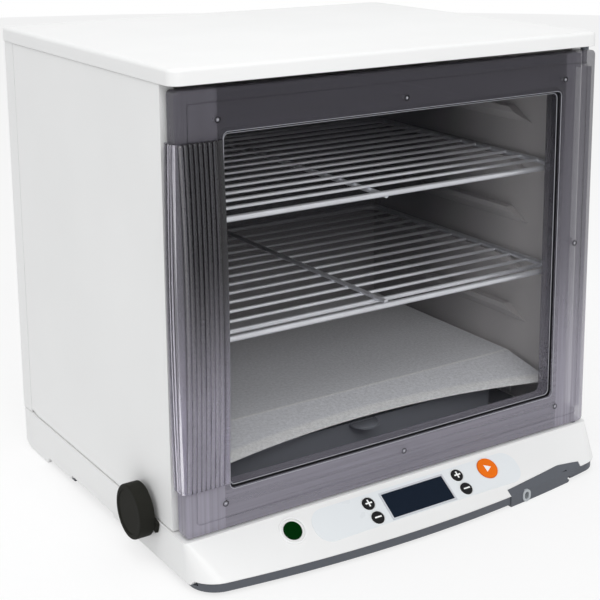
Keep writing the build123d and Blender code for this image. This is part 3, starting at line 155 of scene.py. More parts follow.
class ProoferColours(bpy.types.PropertyGroup):
    """Colours of the moulded, coated and metal finishes."""

    shell: colour("Shell", "White of lid, walls and base", (0.86, 0.86, 0.855))
    lining: colour("Lining", "Inner lining near the door", (0.55, 0.53, 0.53))
    # painted shade of the lining towards the back of the cabin
    lining_painted_shade: colour("Deep lining", "Inner lining towards the back", (0.030, 0.028, 0.029))
    cover: colour("Cover plate", "Loose plate over the tub, at its front", (0.84, 0.85, 0.89))
    # painted shade of the cover plate towards the back
    cover_painted_shade: colour("Deep cover plate", "The same plate towards the back", (0.50, 0.50, 0.52))
    smoke: colour("Smoke", "Smoked plastic of the door frame", (0.20, 0.19, 0.225))
    # painted shade of the door frame along its top
    smoke_painted_shade: colour("Deep smoke", "Smoked plastic along the top of the door", (0.045, 0.042, 0.055))
    grip: colour("Grip", "Clear smoked plastic of the handle", (0.55, 0.53, 0.60))
    pane: colour("Pane", "Clear door pane", (0.05, 0.05, 0.058))
    dark: colour("Dark trim", "Bottom pan and corner insert", (0.10, 0.108, 0.125))
    tub: colour("Tub", "Heating tub and water tray", (0.22, 0.23, 0.26))
    knob: colour("Knob", "Lock knobs", (0.019, 0.019, 0.016))
    sign: colour("Signs", "Marks on the push buttons", (0.95, 0.95, 0.94))
    green: colour("Power button", "Green push button", (0.0, 0.022, 0.002))
    orange: colour("Start button", "Orange push button", (0.88, 0.17, 0.003))
    display: colour("Display", "Unlit display glass", (0.006, 0.012, 0.024))
    film: colour("Panel film", "Film over the sloped controls", (0.80, 0.83, 0.85))
    wire: colour("Wire", "Bright rack wire near the door", (0.74, 0.75, 0.79))
    # painted shade of the rack wire towards the back
    wire_painted_shade: colour("Deep wire", "Rack wire towards the back", (0.20, 0.20, 0.21))


class ProoferSizes(bpy.types.PropertyGroup):
    """Sizes of the fine trim that is added to the solids."""

    edge: length("Edge softness", "Radius of the softened edges of moulded parts", 0.5 * MM)
    rail: length("Rail radius", "Radius of the outer rail of a rack", 2.5 * MM)
    wire: length("Wire radius", "Radius of the cross wires of a rack", 1.5 * MM)
    bar: length("Bar radius", "Radius of the bar and of the stout end wire", 2.0 * MM)
    pitch: length("Wire pitch", "Distance between cross wires", 21.3 * MM)
    end_gap: length("End gap", "End rail to the stout wire", 16.5 * MM)
    wires: count("Wires", "Cross wires of a rack", 12, 3, 40)
    sign: length("Sign stroke", "Stroke width of the plus and minus signs", 1.3 * MM)
    rib: length("Rib radius", "Radius of the ribs across the front of the handle", 1.7 * MM)
    rib_pitch: length("Rib pitch", "Distance between these ribs", 3.8 * MM)
    rib_first: length("First rib", "First rib from the plain edge of the handle", 7.2 * MM)
    ribs: count("Ribs", "Ribs across the front of the handle", 8, 3, 20)
    side_rib: length("Side rib radius", "Radius of the ribs on the side of the handle", 1.1 * MM)
    bow: length("Bow", "Height of the bow of the handle", 5.0 * MM)
    side_bow: length("Side bow", "Height of the bow on the side of the handle", 1.6 * MM)


class ProoferStudio(bpy.types.PropertyGroup):
    """Light and lens of the stage."""

    lens: level("Lens", "Focal length on a 36 mm sensor", 80.9, unit="CAMERA")
    key: level("Key light", "Power of the large overhead light", 18.0, unit="POWER")
    fill: level("Fill light", "Power of the front fill light", 16.5, unit="POWER")
    sky: level("Sky", "Strength of the surrounding light", 0.58)
    floor_glow: level("Floor glow", "Share of plain white in the floor", 0.74)


def settings():
    scene = bpy.context.scene
    return scene.proofer_colours, scene.proofer_sizes, scene.proofer_studio


def math_node(tree, operation, a, b=0.0):
    """Math node whose two values are numbers or sockets."""
    made = tree.nodes.new("ShaderNodeMath")
    made.operation = operation
    for socket, value in zip(made.inputs, (a, b)):
        if isinstance(value, bpy.types.NodeSocket):
            tree.links.new(value, socket)
        else:
            socket.default_value = value
    return made.outputs[0]


# ---------------------------------------------------------------- materials
LOOKS = {}


class Finish:
    """Small helper that builds one node material around a Principled shader."""

    def __init__(self, name, base, rough, metallic=0.0, alpha=1.0, specular=0.5):
        mat = LOOKS[name] = bpy.data.materials.new(name)
        mat.use_nodes = True
        self.tree = mat.node_tree
        self.shader = self.tree.nodes["Principled BSDF"]
        mat.diffuse_color = (*base, 1.0)
        self.set("Base Color", (*base, 1.0))
        self.set("Roughness", rough)
        self.set("Metallic", metallic)
        self.set("Alpha", alpha)
        self.set("Specular IOR Level", specular)
        self.base = base
        self.place = self.node("ShaderNodeTexCoord").outputs["Object"]

    def set(self, socket, value):
        self.shader.inputs[socket].default_value = value

    def node(self, kind, **values):
        made = self.tree.nodes.new(kind)
        for key, value in values.items():
            if key in made.inputs:
                made.inputs[key].default_value = value
            else:
                setattr(made, key, value)
        return made

    def link(self, a, b):
        self.tree.links.new(a, b)

    def stretched(self, scale):
        made = self.node("ShaderNodeMapping")
        made.inputs["Scale"].default_value = scale
        self.link(self.place, made.inputs["Vector"])
        return made.outputs["Vector"]

    def noise(self, scale, detail=3.0, vector=None):
        made = self.node("ShaderNodeTexNoise")
        made.inputs["Scale"].default_value = scale
        made.inputs["Detail"].default_value = detail
        self.link(vector or self.place, made.inputs["Vector"])
        return made.outputs["Fac"]

    def spread(self, fac, low, high):
        made = self.node("ShaderNodeMapRange")
        made.inputs["To Min"].default_value = low
        made.inputs["To Max"].default_value = high
        made.inputs["From Min"].default_value, made.inputs["From Max"].default_value = NOISE_SPAN
        self.link(fac, made.inputs["Value"])
        return made.outputs["Result"]

    def vary(self, fac, amount):
        """Colour drifts between a darker and a lighter tone of the base."""
        ramp = self.node("ShaderNodeValToRGB")
        for stop, place, tone in zip(ramp.color_ramp.elements, TONE_STOPS, (1 - amount, 1 + amount)):
            stop.position = place
            stop.color = (*[min(1.0, c * tone) for c in self.base], 1.0)
        self.link(fac, ramp.inputs["Fac"])
        self.link(ramp.outputs["Color"], self.shader.inputs["Base Color"])

    def along(self, axis, start, end):
        """0 to 1 between two places on one axis of the part."""
        return self.ramp(self.position(axis), start, end)

    def position(self, axis):
        parts = self.node("ShaderNodeSeparateXYZ")
        self.link(self.place, parts.inputs[0])
        return parts.outputs[axis]

    def ramp(self, value, start, end):
        """Soft rise from 0 at one value to 1 at another."""
        made = self.node("ShaderNodeMapRange", interpolation_type="SMOOTHSTEP")
        made.inputs["From Min"].default_value = start
        made.inputs["From Max"].default_value = end
        self.link(value, made.inputs["Value"])
        return made.outputs["Result"]

    def math(self, operation, a, b=0.0):
        return math_node(self.tree, operation, a, b)

    def inverse(self, fac):
        return self.math("SUBTRACT", 1.0, fac)

    def between(self, fac, low, high, blend="MIX"):
        """Colour between two colours or colour sockets."""
        made = self.node("ShaderNodeMix", data_type="RGBA", blend_type=blend)
        sockets = {i.identifier: i for i in made.inputs}
        for key, value in (("Factor_Float", fac), ("A_Color", low), ("B_Color", high)):
            if isinstance(value, bpy.types.NodeSocket):
                self.link(value, sockets[key])
            elif key == "Factor_Float":
                sockets[key].default_value = value
            else:
                sockets[key].default_value = (*value, 1.0)
        return next(o for o in made.outputs if o.identifier == "Result_Color")

    def shade(self, tone, fac, amount):
        """Tone of the part, made lighter and darker by a pattern."""
        low, high = 1.0 - amount, 1.0 + amount
        drift = self.between(self.spread(fac, 0.0, 1.0), (low, low, low), (high, high, high))
        self.link(self.between(1.0, tone, drift, "MULTIPLY"), self.shader.inputs["Base Color"])

    def rough(self, fac, low, high):
        self.link(self.spread(fac, low, high), self.shader.inputs["Roughness"])

    def relief(self, fac, depth, strength, soft=0.0):
        """Bump from a pattern, on edges softened by the given radius."""
        bump = self.node("ShaderNodeBump")
        bump.inputs["Distance"].default_value = depth
        bump.inputs["Strength"].default_value = strength
        self.link(fac, bump.inputs["Height"])
        if soft:
            edge = self.node("ShaderNodeBevel", samples=4)
            edge.inputs["Radius"].default_value = soft
            self.link(edge.outputs["Normal"], bump.inputs["Normal"])
        self.link(bump.outputs["Normal"], self.shader.inputs["Normal"])


def moulded(name, base, rough, grain=GRAIN, depth=0.04 * MM, soft=0.5 * MM, specular=0.5):
    """Moulded plastic with fine grain and a slight drift of tone and gloss."""
    made = Finish(name, base, rough, specular=specular)
    made.vary(made.noise(6.0), 0.02)
    made.rough(made.noise(22.0, 4.0), rough - 0.05, rough + 0.06)
    made.relief(made.noise(grain, 2.0), depth, BUMP, soft)


def metal(name, base, rough, brushed=(1.0, 1.0, 1.0)):
    """Metal whose gloss and relief run along the brushing."""
    made = Finish(name, base, rough, metallic=1.0)
    lines = made.noise(BRUSH, 2.0, made.stretched(brushed))
    made.vary(made.noise(14.0), 0.06)
    made.rough(lines, rough - 0.08, rough + 0.10)
    made.relief(lines, 0.02 * MM, MILD_BUMP, 0.3 * MM)


def lining(name, front, deep):
    """Pale lining with painted shade that darkens it towards the back of the cabin."""
    made = Finish(name, front, 0.45, specular=0.25)
    depth = made.along("Y", -90 * MM, 100 * MM)
    # painted shade: the lower part is darkened less all the way back
    low = made.math("MULTIPLY", made.along("Z", 220 * MM, 80 * MM), -0.35)
    made.shade(made.between(made.math("ADD", depth, low), front, deep), made.noise(9.0, 3.0), 0.10)
    made.relief(made.noise(GRAIN, 2.0), 0.04 * MM, BUMP, 0.6 * MM)


def cover_sheet(name, front, deep, box):
    """Cover plate: fine speckle, painted shade towards the back, a painted highlight along the crease and
    another along its arched front edge.
    """
    crease_highlight_from, crease_highlight_to = -58 * MM, -52 * MM
    ear, rise = 6 * MM, 20 * MM         # plain corner beside the arch and height of the arch
    lip_highlight_clear, lip_highlight_full = 14 * MM, 8 * MM
    made = Finish(name, front, 0.45, specular=0.6)
    made.set("Sheen Weight", 0.6)
    made.set("Sheen Roughness", 0.5)
    # painted shade darkens the plate towards the back
    tone = made.between(made.along("Y", 20 * MM, 140 * MM), front, deep)
    # painted highlight in a narrow white band along the crease
    away = made.math("ABSOLUTE", made.math("SUBTRACT", made.along("Y", crease_highlight_from, crease_highlight_to), 0.5))
    tone = made.between(made.inverse(made.math("MULTIPLY", away, 2.0)), tone, WHITE)
    # the painted highlight follows the circle of the arched edge
    half = (box[1].x - box[0].x) / 2 - ear
    radius = (half**2 + rise**2) / (2 * rise)
    reach = made.node("ShaderNodeVectorMath", operation="DISTANCE")
    reach.inputs[1].default_value = (0.0, box[0].y + rise - radius, 0.0)
    made.link(made.stretched(LEVEL), reach.inputs[0])
    lip = made.ramp(reach.outputs["Value"], radius + lip_highlight_clear, radius + lip_highlight_full)
    made.shade(made.between(lip, tone, WHITE), made.noise(FLOW, 3.0), 0.16)
    made.relief(made.noise(500.0, 2.0), 0.06 * MM, MILD_BUMP, 0.4 * MM)


def smoked(name, base, deep, alpha, rough):
    """Smoked clear plastic with drawn-out flow streaks along the bands of the frame, painted shade along
    its top and painted light along its bottom.
    """
    side_from = 166 * MM                # side bands lie beyond this
    drawn, on_side = 0.012, 0.45        # pull of the streaks, share of the side bands in the painted shade and light
    made = Finish(name, base, rough, alpha=alpha, specular=0.45)
    upright = made.noise(FLOW, 5.0, made.stretched((1.0, 1.0, drawn)))
    lying = made.noise(FLOW, 5.0, made.stretched((drawn, 1.0, 1.0)))
    # side bands carry upright streaks, top and bottom bands level ones
    side = made.math("GREATER_THAN", made.math("ABSOLUTE", made.position("X")), side_from)
    mix = made.node("ShaderNodeMix", data_type="FLOAT")
    made.link(side, mix.inputs["Factor"])
    made.link(lying, mix.inputs["A"])
    made.link(upright, mix.inputs["B"])
    streaks = mix.outputs["Result"]
    # painted shade darkens the frame towards the top of the door, less on the side bands; painted light
    # lifts it towards twice its tone at the bottom, fully on the side bands
    share = made.math("MULTIPLY", side, on_side)
    high = made.math("MULTIPLY", made.along("Z", 100 * MM, 355 * MM), made.inverse(share))
    low = made.math("MULTIPLY", made.along("Z", 220 * MM, 60 * MM), made.math("ADD", share, 1.0 - on_side))
    tone = made.between(low, base, tuple(2.0 * c for c in base))
    made.shade(made.between(high, tone, deep), streaks, 0.20)
    made.rough(streaks, rough - 0.04, rough + 0.10)
    made.relief(streaks, 0.1 * MM, 0.25, 0.6 * MM)


def clear_grip(name, base):
    """Clear smoked handle, solid and refracting, with a painted highlight line on each rib and a painted
    shade line between.
    """
    made = Finish(name, base, 0.05, specular=0.5)
    made.set("Transmission Weight", 0.86)
    made.set("IOR", 1.42)
    line = made.node("ShaderNodeAttribute", attribute_name="rib_painted_light").outputs["Fac"]
    # painted shade darkens the upper part of the ribbed front, where the dark cabin lies behind, and
    # painted light lightens the lower part, where the bright plate lies behind
    low = made.along("Z", 260 * MM, 120 * MM)
    front = made.along("X", -199 * MM, -191 * MM)
    upper = made.between(front, tuple(0.85 * c for c in base), tuple(0.16 * c for c in base))
    body = made.between(low, upper, tuple(1.5 * c for c in base))
    # painted shade darkens the gaps between ribs; painted highlight lightens each crest, white on the side
    # and the lower front, dimmer on the upper front
    rib = made.math("MINIMUM", made.math("MULTIPLY", line, 2.0), 1.0)
    crest_highlight = made.math("MAXIMUM", made.math("MULTIPLY", made.math("SUBTRACT", line, 0.5), 2.0))
    bright = made.between(made.math("MULTIPLY", front, made.inverse(low)), WHITE, RIB_DIM_PAINTED_HIGHLIGHT)
    tone = made.between(crest_highlight, made.between(rib, RIB_GAP_PAINTED_SHADE, body), bright)
    made.shade(tone, made.noise(50.0, 3.0, made.stretched((1.0, 1.0, 0.05))), 0.10)
    made.relief(made.noise(160.0, 3.0, made.stretched((1.0, 1.0, 0.1))), 0.1 * MM, 0.10)


def wires(name, front, deep):
    """Bright drawn wire, darkened by painted shade towards the back of the cabin."""
    made = Finish(name, front, 0.30, metallic=0.6, specular=0.4)
    # painted shade darkens the wire from front to back
    made.shade(made.between(made.along("Y", -80 * MM, 140 * MM), front, deep),
               made.noise(160.0, 3.0, made.stretched((0.2, 1.0, 1.0))), 0.10)
    made.relief(made.noise(BRUSH, 2.0), 0.02 * MM, 0.2)


def clear(name, base, alpha, rough):
    """Clear pane with faint haze and moulding waves."""
    made = Finish(name, base, rough, alpha=alpha, specular=0.15)
    made.vary(made.noise(4.0), 0.05)
    made.relief(made.noise(9.0, 1.0), 0.4 * MM, 0.05)


def display_glass(name, base):
    """Unlit display: dark glass with a fine grid just under the surface."""
    made = Finish(name, base, 0.3, specular=0.06)
    grid = made.node("ShaderNodeTexBrick")
    grid.inputs["Scale"].default_value = GRAIN
    grid.inputs["Mortar Size"].default_value = 0.03
    for socket, tone in (("Color1", 1.0), ("Color2", 1.3), ("Mortar", 0.7)):
        grid.inputs[socket].default_value = (*[c * tone for c in base], 1.0)
    made.link(made.place, grid.inputs["Vector"])
    made.link(grid.outputs["Color"], made.shader.inputs["Base Color"])
    made.relief(made.noise(30.0), 0.03 * MM, 0.1)


def finishes():
    """Make all finishes; most carry the name of a material slot of the record."""
    c, sizes, _ = settings()
    soft = 1.4 * sizes.edge
    moulded("white_shell", tuple(c.shell), 0.42, soft=soft)
    lining("white_lining", tuple(c.lining), tuple(c.lining_painted_shade))
    cover_sheet("cover_sheet", tuple(c.cover), tuple(c.cover_painted_shade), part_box("cover_plate"))
    smoked("smoke_clear", tuple(c.smoke), tuple(c.smoke_painted_shade), 0.55, 0.18)
    clear_grip("clear_grip", tuple(c.grip))
    clear("clear_pane", tuple(c.pane), 0.07, 0.04)
    moulded("black_seal", (0.004, 0.004, 0.005), 0.6, soft=0.2 * MM, specular=0.15)
    # pale_edge also draws the painted highlight lines beside the window seal
    moulded("pale_edge", (0.42, 0.42, 0.46), 0.3, soft=0.0)
    moulded("dark_grey", tuple(c.dark), 0.5, grain=1400.0, depth=0.08 * MM, specular=0.3)
    moulded("black_knob", tuple(c.knob), 0.6, 1500.0, 0.06 * MM, soft=soft, specular=0.04)
    moulded("button_black", (0.008, 0.008, 0.009), 0.45, soft=0.3 * MM, specular=0.15)
    moulded("button_green", tuple(c.green), 0.4, soft=0.4 * MM, specular=0.02)
    moulded("button_orange", tuple(c.orange), 0.45, soft=0.4 * MM, specular=0.15)
    moulded("panel_film", tuple(c.film), 0.30, grain=2200.0, depth=0.02 * MM, soft=0.0)
    moulded("bezel_light", (0.62, 0.64, 0.68), 0.3, soft=0.3 * MM)
    display_glass("display_dark", tuple(c.display))
    moulded("board", (0.02, 0.10, 0.035), 0.35, grain=400.0)
    wires("wire_coat", tuple(c.wire), tuple(c.wire_painted_shade))
    metal("tray_metal", (0.60, 0.61, 0.62), 0.34, (0.04, 1.0, 1.0))
    moulded("tub_grey", tuple(c.tub), 0.42, grain=1100.0, specular=0.3)
    metal("steel", (0.50, 0.50, 0.51), 0.30)
    metal("element_steel", (0.20, 0.19, 0.18), 0.45)
    moulded("foot_rubber", (0.03, 0.03, 0.032), 0.75, grain=1800.0, depth=0.1 * MM)
    metal("magnet", (0.10, 0.10, 0.11), 0.4)
    moulded("port_rim", (0.45, 0.48, 0.50), 0.3, soft=0.4 * MM)
    moulded("sign_pale", tuple(c.sign), 0.4, soft=0.0)
    moulded("ring_white", (0.93, 0.93, 0.93), 0.3, soft=0.0)


def look(name):
    if not LOOKS:
        finishes()
    return LOOKS[name]


# ---------------------------------------------------------------- mesh helpers
def finish_node(node, name):
    """The CAD node stays and gets its finish."""
    mesh = NODES[node].data
    mesh.materials.clear()
    mesh.materials.append(look(name))


def as_piece(name, mesh, look_name, body):
    """New object at the origin that rides on a body and takes the finish of the given name."""
    made = bpy.data.objects.new(name, mesh)
    bpy.context.scene.collection.objects.link(made)
    mesh.materials.clear()
    mesh.materials.append(look(look_name))
    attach(made, body)
    return made


def soften(mesh, angle=32.0):
    """Merged copy of a faceted mesh, smooth except along its sharp edges."""
    work = bmesh.new()
    work.from_mesh(mesh)
    bmesh.ops.remove_doubles(work, verts=work.verts, dist=0.004 * MM)
    for face in work.faces:
        face.smooth = True
    limit = math.radians(angle)
    for edge in work.edges:
        edge.smooth = len(edge.link_faces) == 2 and edge.calc_face_angle(math.pi) < limit
    work.to_mesh(mesh)
    work.free()
    return mesh


def smooth_copy(node, look_name, angle=32.0):
    """Curved CAD node shown by a merged copy with smooth shading."""
    source = NODES[node]
    mesh = soften(source.data.copy(), angle)
    mesh.name = node + "_smooth"
    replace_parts(as_piece(node + "_smooth", mesh, look_name, source["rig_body"]), node)


def mesh_from(build, name):
    work = bmesh.new()
    build(work)
    bmesh.ops.remove_doubles(work, verts=work.verts, dist=0.002 * MM)
    bmesh.ops.recalc_face_normals(work, faces=work.faces)
    mesh = bpy.data.meshes.new(name)
    work.to_mesh(mesh)
    work.free()
    return mesh


def panel_place(node):
    """Middle of a button's face and its axes: right, up along the slope, outwards."""
    joint = next(j for j in frame["joints"] if j["child"] == node)
    out = -Vector(joint["axis"]).normalized()
    points = [v.co for v in NODES[node].data.vertices]
    top = max(p.dot(out) for p in points)
    face = [p for p in points if p.dot(out) > top - 0.05 * MM]
    low = Vector([min(p[i] for p in face) for i in range(3)])
    high = Vector([max(p[i] for p in face) for i in range(3)])
    middle = (low + high) / 2
    right = Vector((0, 0, 1)).cross(out).normalized() * -1.0
    if right.x < 0:
        right = -right
    up = out.cross(right).normalized()
    place = Matrix((right, up, out)).transposed().to_4x4()
    place.translation = middle
    return place


# ---------------------------------------------------------------- geometry nodes helpers
class Tree:
    """Geometry node tree under construction, with named inputs that hold plain numbers."""

    def __init__(self, name, inputs):
        self.tree = bpy.data.node_groups.new(name, "GeometryNodeTree")
        self.tree.is_modifier = True
        self.tree.interface.new_socket(name="Geometry", in_out="OUTPUT", socket_type="NodeSocketGeometry")
        self.ids = {}
        self.tree.interface.new_socket(name="Places", in_out="INPUT", socket_type="NodeSocketGeometry")
        for label, value in inputs.items():
            kind = "NodeSocketInt" if isinstance(value, int) else "NodeSocketFloat"
            socket = self.tree.interface.new_socket(name=label, in_out="INPUT", socket_type=kind)
            socket.default_value = value
            self.ids[label] = socket.identifier
        self.entry = self.tree.nodes.new("NodeGroupInput")
        self.exit = self.tree.nodes.new("NodeGroupOutput")

    def add(self, kind, settings=None, **links):
        node = self.tree.nodes.new(kind)
        for key, value in (settings or {}).items():
            setattr(node, key, value)
        for key, value in links.items():
            socket = node.inputs[key.replace("_", " ")]
            if isinstance(value, bpy.types.NodeSocket):
                self.tree.links.new(value, socket)
            else:
                socket.default_value = value
        return node

    def math(self, operation, a, b):
        return math_node(self.tree, operation, a, b)

    def vector(self, x=0.0, y=0.0, z=0.0):
        return self.add("ShaderNodeCombineXYZ", X=x, Y=y, Z=z).outputs[0]

    def rounded(self, width, height, corner):
        """Rectangle with rounded corners."""
        loop = self.add("GeometryNodeCurvePrimitiveQuadrilateral", Width=width, Height=height)
        bent = self.add("GeometryNodeFilletCurve", {"mode": "POLY"}, Curve=loop.outputs[0], Radius=corner,
                        Count=8)
        return bent.outputs[0]

    def tube(self, curve, radius, sides):
        ring = self.add("GeometryNodeCurvePrimitiveCircle", Resolution=sides, Radius=radius)
        swept = self.add("GeometryNodeCurveToMesh", Curve=curve, Fill_Caps=True)
        self.tree.links.new(ring.outputs["Curve"], swept.inputs["Profile Curve"])
        return swept.outputs["Mesh"]

    def close(self, parts, material):
        join = self.tree.nodes.new("GeometryNodeJoinGeometry")
        for part in parts:
            self.tree.links.new(part, join.inputs[0])
        real = self.add("GeometryNodeRealizeInstances")
        self.tree.links.new(join.outputs[0], real.inputs[0])
        smooth = self.add("GeometryNodeSetShadeSmooth")
        self.tree.links.new(real.outputs[0], smooth.inputs[0])
        paint = self.add("GeometryNodeSetMaterial")
        paint.inputs["Material"].default_value = material
        self.tree.links.new(smooth.outputs[0], paint.inputs[0])
        self.tree.links.new(paint.outputs[0], self.exit.inputs[0])


def grown(name, tree, values, places=()):
    """Evaluate a tree once, on points where it has them, and keep its result as a plain mesh."""
    seed = bpy.data.meshes.new(name + "_places")
    seed.from_pydata([tuple(p) for p in places], [], [])
    holder = bpy.data.objects.new(name + "_grower", seed)
    bpy.context.scene.collection.objects.link(holder)
    modifier = holder.modifiers.new("grow", "NODES")
    modifier.node_group = tree.tree
    for label, value in values.items():
        modifier[tree.ids[label]] = value
    bpy.context.view_layer.update()
    graph = bpy.context.evaluated_depsgraph_get()
    mesh = bpy.data.meshes.new_from_object(holder.evaluated_get(graph))
    mesh.name = name
    holder.modifiers.clear()
    bpy.data.objects.remove(holder)
    return mesh


# ---------------------------------------------------------------- operators, one for each piece or group
class PROOFER_OT_housing(bpy.types.Operator):
    """White shells of lid, walls and base with their pale linings"""

    bl_idname = "proofer.housing"
    bl_label = "Housing"

    def execute(self, context):
        smooth_copy("base_shell", "white_shell", 28.0)
        smooth_copy("lid_shell", "white_shell")
        smooth_copy("back_wall", "white_shell")
        for node in ("left_wall", "right_wall"):
            finish_node(node, "white_shell")
        for node in ("left_lining", "right_lining", "back_lining", "lid_lining"):
            finish_node(node, "white_lining")
        return {"FINISHED"}


class PROOFER_OT_underside(bpy.types.Operator):
    """Bottom pan, feet, corner insert with its port, and the screws below"""

    bl_idname = "proofer.underside"
    bl_label = "Underside"

    def execute(self, context):
        smooth_copy("bottom_pan", "dark_grey")
        smooth_copy("corner_insert", "dark_grey", 25.0)
        smooth_copy("rubber_feet", "foot_rubber")
        smooth_copy("port_grommet", "port_rim")
        finish_node("pan_screws", "steel")
        return {"FINISHED"}


class PROOFER_OT_door(bpy.types.Operator):
    """Smoked door frame, clear pane, seal and fittings"""

    bl_idname = "proofer.door"
    bl_label = "Door"

    def screw_wells(self):
        """Dark ring and pale middle where each screw boss ends under the clear face."""
        tree = Tree("screw_wells", {"Radius": 2.1 * MM, "Stroke": 0.4 * MM})
        get = tree.entry.outputs
        ring = tree.add("GeometryNodeCurvePrimitiveCircle", Resolution=24, Radius=get["Radius"])
        swept = tree.tube(ring.outputs["Curve"], get["Stroke"], 8)
        turned = tree.add("GeometryNodeTransform", Geometry=swept, Rotation=UPRIGHT)
        rings = tree.add("GeometryNodeInstanceOnPoints", Points=get["Places"], Instance=turned.outputs[0])
        tree.close([rings.outputs[0]], look("black_seal"))
        caps = Tree("screw_caps", {"Radius": 1.3 * MM})
        get = caps.entry.outputs
        disc = caps.add("GeometryNodeMeshUVSphere", Segments=16, Rings=8, Radius=get["Radius"])
        flat = caps.add("GeometryNodeTransform", Geometry=disc.outputs[0], Scale=(1.0, 0.2, 1.0))
        spots = caps.add("GeometryNodeInstanceOnPoints", Points=get["Places"], Instance=flat.outputs[0])
        caps.close([spots.outputs[0]], look("pale_edge"))
        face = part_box("door_frame")[0].y
        places = [(x, face + 0.2 * MM, z) for x, z in self.screw_places()]
        as_piece("screw_wells", grown("screw_wells", tree, {}, places), "black_seal", "door")
        as_piece("screw_caps", grown("screw_caps", caps, {}, places), "pale_edge", "door")

    def screw_places(self):
        """Middle of each screw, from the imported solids."""
        found = []
        for vertex in NODES["door_screws"].data.vertices:
            x, _, z = vertex.co
            for group in found:
                if max(abs(group[0][0] - x), abs(group[0][1] - z)) < SCREW_GROUP:
                    group.append((x, z))
                    break
            else:
                found.append([(x, z)])
        spans = [[[p[i] for p in group] for i in (0, 1)] for group in found]
        return [tuple((min(span) + max(span)) / 2 for span in pair) for pair in spans]

    def window_highlight_lines(self):
        """Painted highlight: fine pale lines on both sides of the black seal, where the bevels of the pane
        catch the light.
        """
        tree = Tree("window_highlight_line", {"Width": 0.32, "Height": 0.27, "Corner": WINDOW_CORNER,
                                    "Stroke": HIGHLIGHT_STROKE, "Y": 0.0, "Z": 0.2})
        get = tree.entry.outputs
        loop = tree.rounded(get["Width"], get["Height"], get["Corner"])
        turned = tree.add("GeometryNodeTransform", Geometry=tree.tube(loop, get["Stroke"], 8),
                          Rotation=UPRIGHT, Translation=tree.vector(y=get["Y"], z=get["Z"]))
        tree.close([turned.outputs[0]], look("pale_edge"))
        low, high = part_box("window_seal")
        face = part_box("door_frame")[0].y
        for name, inset, y in (("window_edge_highlight", SEAL_LAP - 0.2 * MM, face + 0.25 * MM),
                               ("window_rim_highlight", SEAL_LAP + SEAL_LIP + 0.5 * MM, high.y - 0.2 * MM)):
            mesh = grown(name, tree, {
                "Width": high.x - low.x - 2 * inset, "Height": high.z - low.z - 2 * inset,
                "Corner": WINDOW_CORNER, "Stroke": HIGHLIGHT_STROKE, "Y": y, "Z": (low.z + high.z) / 2})
            as_piece(name, mesh, "pale_edge", "door")

    def execute(self, context):
        smooth_copy("door_frame", "smoke_clear")
        finish_node("door_inner_frame", "smoke_clear")
        finish_node("door_pane", "clear_pane")
        finish_node("door_magnet", "magnet")
        for name, nodes in (("black_seal", ("window_seal", "door_gasket")),
                            ("dark_grey", ("lid_bush", "base_bush")),
                            ("steel", ("door_screws", "pane_clips", "magnet_strike", "door_pins"))):
            for node in nodes:
                finish_node(node, name)
        self.screw_wells()
        self.window_highlight_lines()
        return {"FINISHED"}


